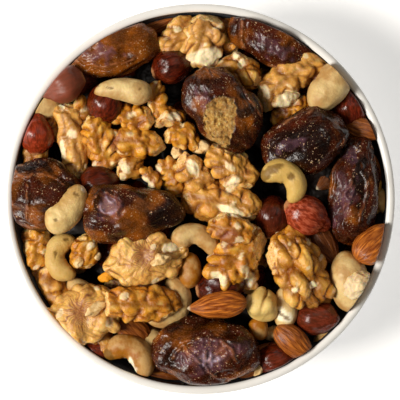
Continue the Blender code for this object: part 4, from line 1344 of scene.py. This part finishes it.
def make_core(material):
    """The middle of the heap, below what shows, near-black as painted shade in the gaps."""
    rng = np.random.RandomState(CORE_SEED)
    low = BOWL_HEIGHT - INSIDE_DEPTH + CORE_INSET
    edge = CORE_RADIUS - CORE_MARGIN
    under = quarter(RIM_RADIUS - CORE_INSET, INSIDE_DEPTH - CORE_INSET, low, 24)
    under = [(0.0, low)] + [(r, z) for r, z in under[1:] if r < edge - 1]
    top = [(r, float(core_height(r)) - CORE_SINK) for r in np.linspace(edge, 0, 40)]
    points, faces = turned_solid(under + top, CORE_SIDES)
    surface = points[:, 2] > 30
    points[:, 2] += ripples(points, 14, rng) * 1.0 * surface
    for x, y, radius in GAPS:
        share = np.hypot(points[:, 0] - x, points[:, 1] - y) / radius
        points[:, 2] -= surface * GAP_DEPTH * 0.7 * np.sqrt(np.maximum(0, 1 - share**2))
    core = joined_mesh("heap_core", [(points, {}, faces)])
    core.data.materials.append(material)
    return core


class Spots:
    """Finds which of a piece's points lie in spots seen from above, on the piece's upper side."""

    def __init__(self, nut, points, height, rng):
        self.nut, self.points, self.rng = nut, points, rng
        self.above = points[:, 2] > height - 0.5

    def near(self, spots):
        reach = reach_of(self.nut)
        return [s for s in spots if math.hypot(s[0] - self.nut.x, s[1] - self.nut.y) < reach + max(s[2:4])]

    def inside(self, spot, ragged):
        return patch(self.points, spot, self.rng, ragged) * self.above

    def cover(self, spots, ragged):
        """1 where one of the spots lies."""
        found = np.zeros(len(self.points))
        for spot in self.near(spots):
            found = np.maximum(found, self.inside(spot, ragged))
        return found


def dress_walnut(nut, points, masks, height, rng):
    """Adds bare flesh with a ring of painted shade, veins, painted shade on the lower sides, and the tone
    of the whole piece.
    """
    spots = Spots(nut, points, height, rng)
    none = np.zeros(len(points))
    flesh = 0.7 * ease(1.75, 1.95, ripples(points, 7, rng)) * spots.above
    for spot in spots.near(FLESH):
        found = spots.inside(spot, 0.18)
        points[:, 2] += spot[5] * found
        flesh = np.maximum(flesh, found)
        x, y, long, wide, turn = spot[:5]
        edge = spots.inside((x, y, long + FLESH_RING, wide + FLESH_RING, turn), 0.18) * (1 - found)
        masks["crease"] = np.maximum(masks["crease"], 0.6 * edge)
        points[:, 2] -= 0.35 * edge
    masks["vein"] = np.maximum(masks.get("vein", none), 0.8 * spots.cover(VEINED, 0.5))
    masks["crease"] *= 1 - 0.8 * np.maximum(flesh, masks.get("bare", none))
    # Painted shade: each piece is painted darker on its lower sides
    up = (points[:, 2] - height) / (nut.wide * THICKNESS[Walnut] / 2)
    masks["crease"] = np.maximum(masks["crease"], 0.65 * (1 - ease(-0.1, 0.5, up)))
    masks["tone"] = np.full(len(points), rng.uniform(0.0, 0.8))
    masks["pale"] = np.maximum(masks.get("pale", none), PALE.get(nut.seed, 0.0))
    masks["flesh"] = 0.35 + 0.6 * masks["lump"] if nut.seed == WHITE else flesh


def dress_date(nut, points, masks, height, rng):
    """Adds loose skin with its bloom and painted sheen, dents, dark skin and painted shade, raised lines
    with a painted highlight, and the torn patch.
    """
    spots = Spots(nut, points, height, rng)
    above = spots.above
    sheen, line = np.zeros((2, len(points)))
    wrinkles = np.clip(1 - np.abs(ripples(points, 4.6, rng, stretch=(1, 0.6, 1))) / 0.6, 0, 1)
    for spot in spots.near(SHEEN):
        found = spots.inside(spot, 0.5)
        points[:, 2] += 0.75 * found * (wrinkles - 0.35)
        sheen = np.maximum(sheen, found * (0.45 + 0.55 * wrinkles))
    for x, y, radius, depth in DENTS:
        share = np.hypot(points[:, 0] - x, points[:, 1] - y) / radius
        share *= 1 + 0.12 * ripples(points, 6, rng, waves=20)
        rim = np.exp(-(((share - 1.15) / 0.28) ** 2))
        points[:, 2] += above * depth * (0.45 * rim - np.exp(-((share / 0.8) ** 2)))
    masks["dark"] = spots.cover(DARK_SKIN_AND_SHADE, 0.9)
    wander = np.stack([ripples(points, 5, rng, waves=20) for _ in range(2)], axis=1) * 0.28
    for bends in SKIN_LINES:
        if any(math.hypot(x - nut.x, y - nut.y) < nut.long / 2 for x, y in bends):
            apart = line_distance(points[:, :2] + wander, bends)
            line = np.maximum(line, above * np.exp(-((apart / 0.5) ** 2)))
            points[:, 2] -= above * 0.45 * np.exp(-(((apart - 1.3) / 0.6) ** 2))
    points[:, 2] += 0.6 * line
    masks["line"] = line * FAINT.get(nut.x, 0.8) * ease(-0.8, 0.6, ripples(points, 4, rng))
    edge = enclosed(points, TORN) + 0.22 * ripples(points, 3.0, rng) + 0.1 * ripples(points, 1.5, rng)
    torn = above * ease(-0.15, 0.2, edge)
    holes = ease(0.7, 1.6, ripples(points, 2.3, rng))
    uneven = 0.18 * ripples(points, 1.5, rng) + 0.3 * ripples(points, 5.0, rng)
    points[:, 2] += torn * (uneven - holes - 0.7)
    # Painted shade: the flesh darkens in patches towards the far edge of the torn patch, under the torn
    # skin
    far_end = ease(32.0, 39.0, points[:, 1]) * ease(-0.8, 0.6, ripples(points, 2.2, rng))
    masks["pits"] = torn * np.maximum(holes, far_end)
    masks["sheen"] = sheen * (1 - torn)
    masks["bloom"] = spots.cover(BLOOM_AND_HIGHLIGHT, 0.5) * (0.25 + 0.75 * wrinkles)
    masks["torn"] = torn


def dress_cashew(nut, points, masks, height, rng):
    """Adds brown scars with painted shade in holes and windows, and bare white flesh with painted
    highlights.
    """
    spots = Spots(nut, points, height, rng)
    masks["yellow"] = np.full(len(points), YELLOW_FLESH.get(nut.x, 0.0))
    masks["scar"] = spots.cover(SCARS_AND_SHADE, 0.3)
    points[:, 2] -= 0.3 * masks["scar"]
    masks["pale"] = spots.cover(SPLIT_AND_HIGHLIGHT, 0.3)


DRESSES = {Date: dress_date, Walnut: dress_walnut, Cashew: dress_cashew}


def reach_of(nut):
    return nut.ring + nut.head if type(nut) is Cashew else nut.long / 2


def piece_name(nut):
    if type(nut) is Walnut:
        return "walnut_halves" if nut.long >= LARGE_WALNUT else "walnut_pieces"
    return PIECES[type(nut)]


def filling():
    """Nuts just below the ones that show, which fill the gaps between them: each with its height."""
    rng = np.random.RandomState(FILLING_SEED)
    found = []
    for number in range(EDGE_NUTS):
        around = 2 * math.pi * (number + rng.uniform(-0.2, 0.2)) / EDGE_NUTS
        x, y = EDGE_CIRCLE * math.cos(around), EDGE_CIRCLE * math.sin(around)
        turn = math.degrees(around) + 90 + rng.uniform(-25, 25)
        pick = rng.rand()
        if any(math.hypot(x - nut.x, y - nut.y) < 5 for nut in HEAP):
            continue
        # The hazelnuts and almonds here get low tones, which paint them darker: painted shade for nuts that
        # lie deep
        if pick < 0.25:
            nut = Hazelnut(x, y, 15, 13.5, turn, 0.3)
        elif pick < 0.45:
            nut = Almond(x, y, 22, 11, turn, 0.4)
        elif pick < 0.6:
            nut = Cashew(x, y, 9, 5, 4.5, 110, turn + 90, 0.3)
        else:
            nut = Walnut(x, y, 21, 13, turn, 400 + number)
        found.append((nut, EDGE_HEIGHT + rng.uniform(-1, 1)))
    for row in range(-6, 7):
        for column in range(-6, 7):
            x = (column + 0.5 * (row % 2)) * COLUMN_STEP + rng.uniform(-2, 2)
            y = row * ROW_STEP + rng.uniform(-2, 2)
            turn = rng.uniform(0, 360)
            pick = rng.rand()
            over_gap = any(math.hypot(x - a, y - b) < r + 3 for a, b, r in GAPS)
            if math.hypot(x, y) > FILLING_CIRCLE or over_gap:
                continue
            if pick < 0.4:
                nut = Hazelnut(x, y, 15, 13.5, turn, 0.2)
            elif pick < 0.7:
                nut = Almond(x, y, 22, 11, turn, 0.2)
            else:
                nut = Walnut(x, y, 19, 13, turn, 500 + len(found))
            height = float(core_height(math.hypot(x, y))) - FILLING_SINK + rng.uniform(-1.5, 1.5)
            found.append((nut, height))
    return found


def make_heap():
    """Every piece of food, as one object for each kind."""
    heights, (grid_x, grid_y, ground) = settle(HEAP)
    kinds = {}
    for number, (nut, height) in enumerate(list(zip(HEAP, heights)) + filling()):
        rng = np.random.RandomState(HEAP_SEED + number)
        shows = number < len(HEAP)
        facet = FACET[type(nut)] * (1 if shows else COARSER_BELOW)
        points, masks, faces = FORMS[type(nut)](nut, rng, facet)
        roll, pitch = np.radians(rng.uniform(-1, 1, 2) * TILT[type(nut)])
        height += LIFT.get(nut.x, 0) * shows
        points = pressed(placed(tilted(points, roll, pitch), nut.x, nut.y, height, nut.turn))
        if type(nut) in DRESSES:
            DRESSES[type(nut)](nut, points, masks, height, rng)
        kinds.setdefault(piece_name(nut), []).append((points, masks, faces))
    crumbs = []
    for number, spot in enumerate(CRUMBS):
        rng = np.random.RandomState(CRUMB_SEED + number)
        points, masks, faces = crumb_form(spot[2], spot[3], rng)
        masks["yolk"] = np.full(len(points), float(spot[:2] == YOLK))
        here = np.hypot(grid_x - spot[0], grid_y - spot[1]) < spot[3] / 2
        height = float(np.quantile(ground[here], 0.35)) + 0.1 * spot[3]
        crumbs.append((pressed(placed(points, spot[0], spot[1], height, spot[4])), masks, faces))
    kinds["crumbs"] = crumbs
    return {name: joined_mesh(name, parts) for name, parts in kinds.items()}


def make_lights():
    world = bpy.data.worlds.new("studio")
    bpy.context.scene.world = world
    world.use_nodes = True
    background = world.node_tree.nodes["Background"].inputs
    background["Color"].default_value = (1.0, 0.92, 0.8, 1.0)
    background["Strength"].default_value = 0.1
    for name, place, size, power, tint in LIGHTS:
        lamp = bpy.data.lights.new(name, "AREA")
        lamp.size = size
        lamp.energy = power
        lamp.color = tint
        obj = bpy.data.objects.new(name, lamp)
        obj.location = place
        obj.rotation_euler = (Vector((0, 0, 0.05)) - obj.location).to_track_quat("-Z", "Y").to_euler()
        bpy.context.scene.collection.objects.link(obj)


def make_camera():
    """Straight above, with the inside of the bowl nearly as wide as the picture."""
    camera = bpy.data.cameras.new("camera")
    width = 2 * RIM_RADIUS * MM * PICTURE_SIDE / BOWL_IN_PICTURE
    camera.lens = camera.sensor_width * CAMERA_FAR / width
    camera.clip_start = 0.01
    obj = bpy.data.objects.new("camera", camera)
    obj.location = (*CAMERA_ASIDE, BOWL_HEIGHT * MM + CAMERA_FAR)
    bpy.context.scene.collection.objects.link(obj)
    bpy.context.scene.camera = obj


def make_floor(material):
    mesh = bpy.data.meshes.new("floor")
    mesh.from_pydata([(-3, -3, 0), (3, -3, 0), (3, 3, 0), (-3, 3, 0)], [], [(0, 1, 2, 3)])
    floor = bpy.data.objects.new("floor", mesh)
    floor.data.materials.append(material)
    bpy.context.scene.collection.objects.link(floor)


def main():
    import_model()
    mottle, specks, fibres = make_mottle(), make_specks(), make_fibres()
    walnut = walnut_material(mottle)
    cashew = cashew_material(mottle)
    finishes = {
        "dates": date_material(mottle, specks, fibres),
        "walnut_halves": walnut,
        "walnut_pieces": walnut,
        "cashews": cashew,
        "skinned_hazelnut": cashew,
        "hazelnuts": hazelnut_material(mottle, fibres),
        "almonds": almond_material(mottle, fibres),
        "crumbs": crumb_material(mottle),
    }
    bowl = make_bowl(glaze_material(mottle))
    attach(bowl, "root")
    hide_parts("bowl")
    heap = make_heap()
    for name, piece in heap.items():
        piece.data.materials.append(finishes[name])
    heap["heap_core"] = make_core(shade_core_material(mottle))
    for piece in heap.values():
        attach(piece, "root")
        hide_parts("trail_mix")
    make_floor(floor_material(mottle))
    make_lights()
    make_camera()
    bpy.context.scene.view_settings.view_transform = "Standard"


main()
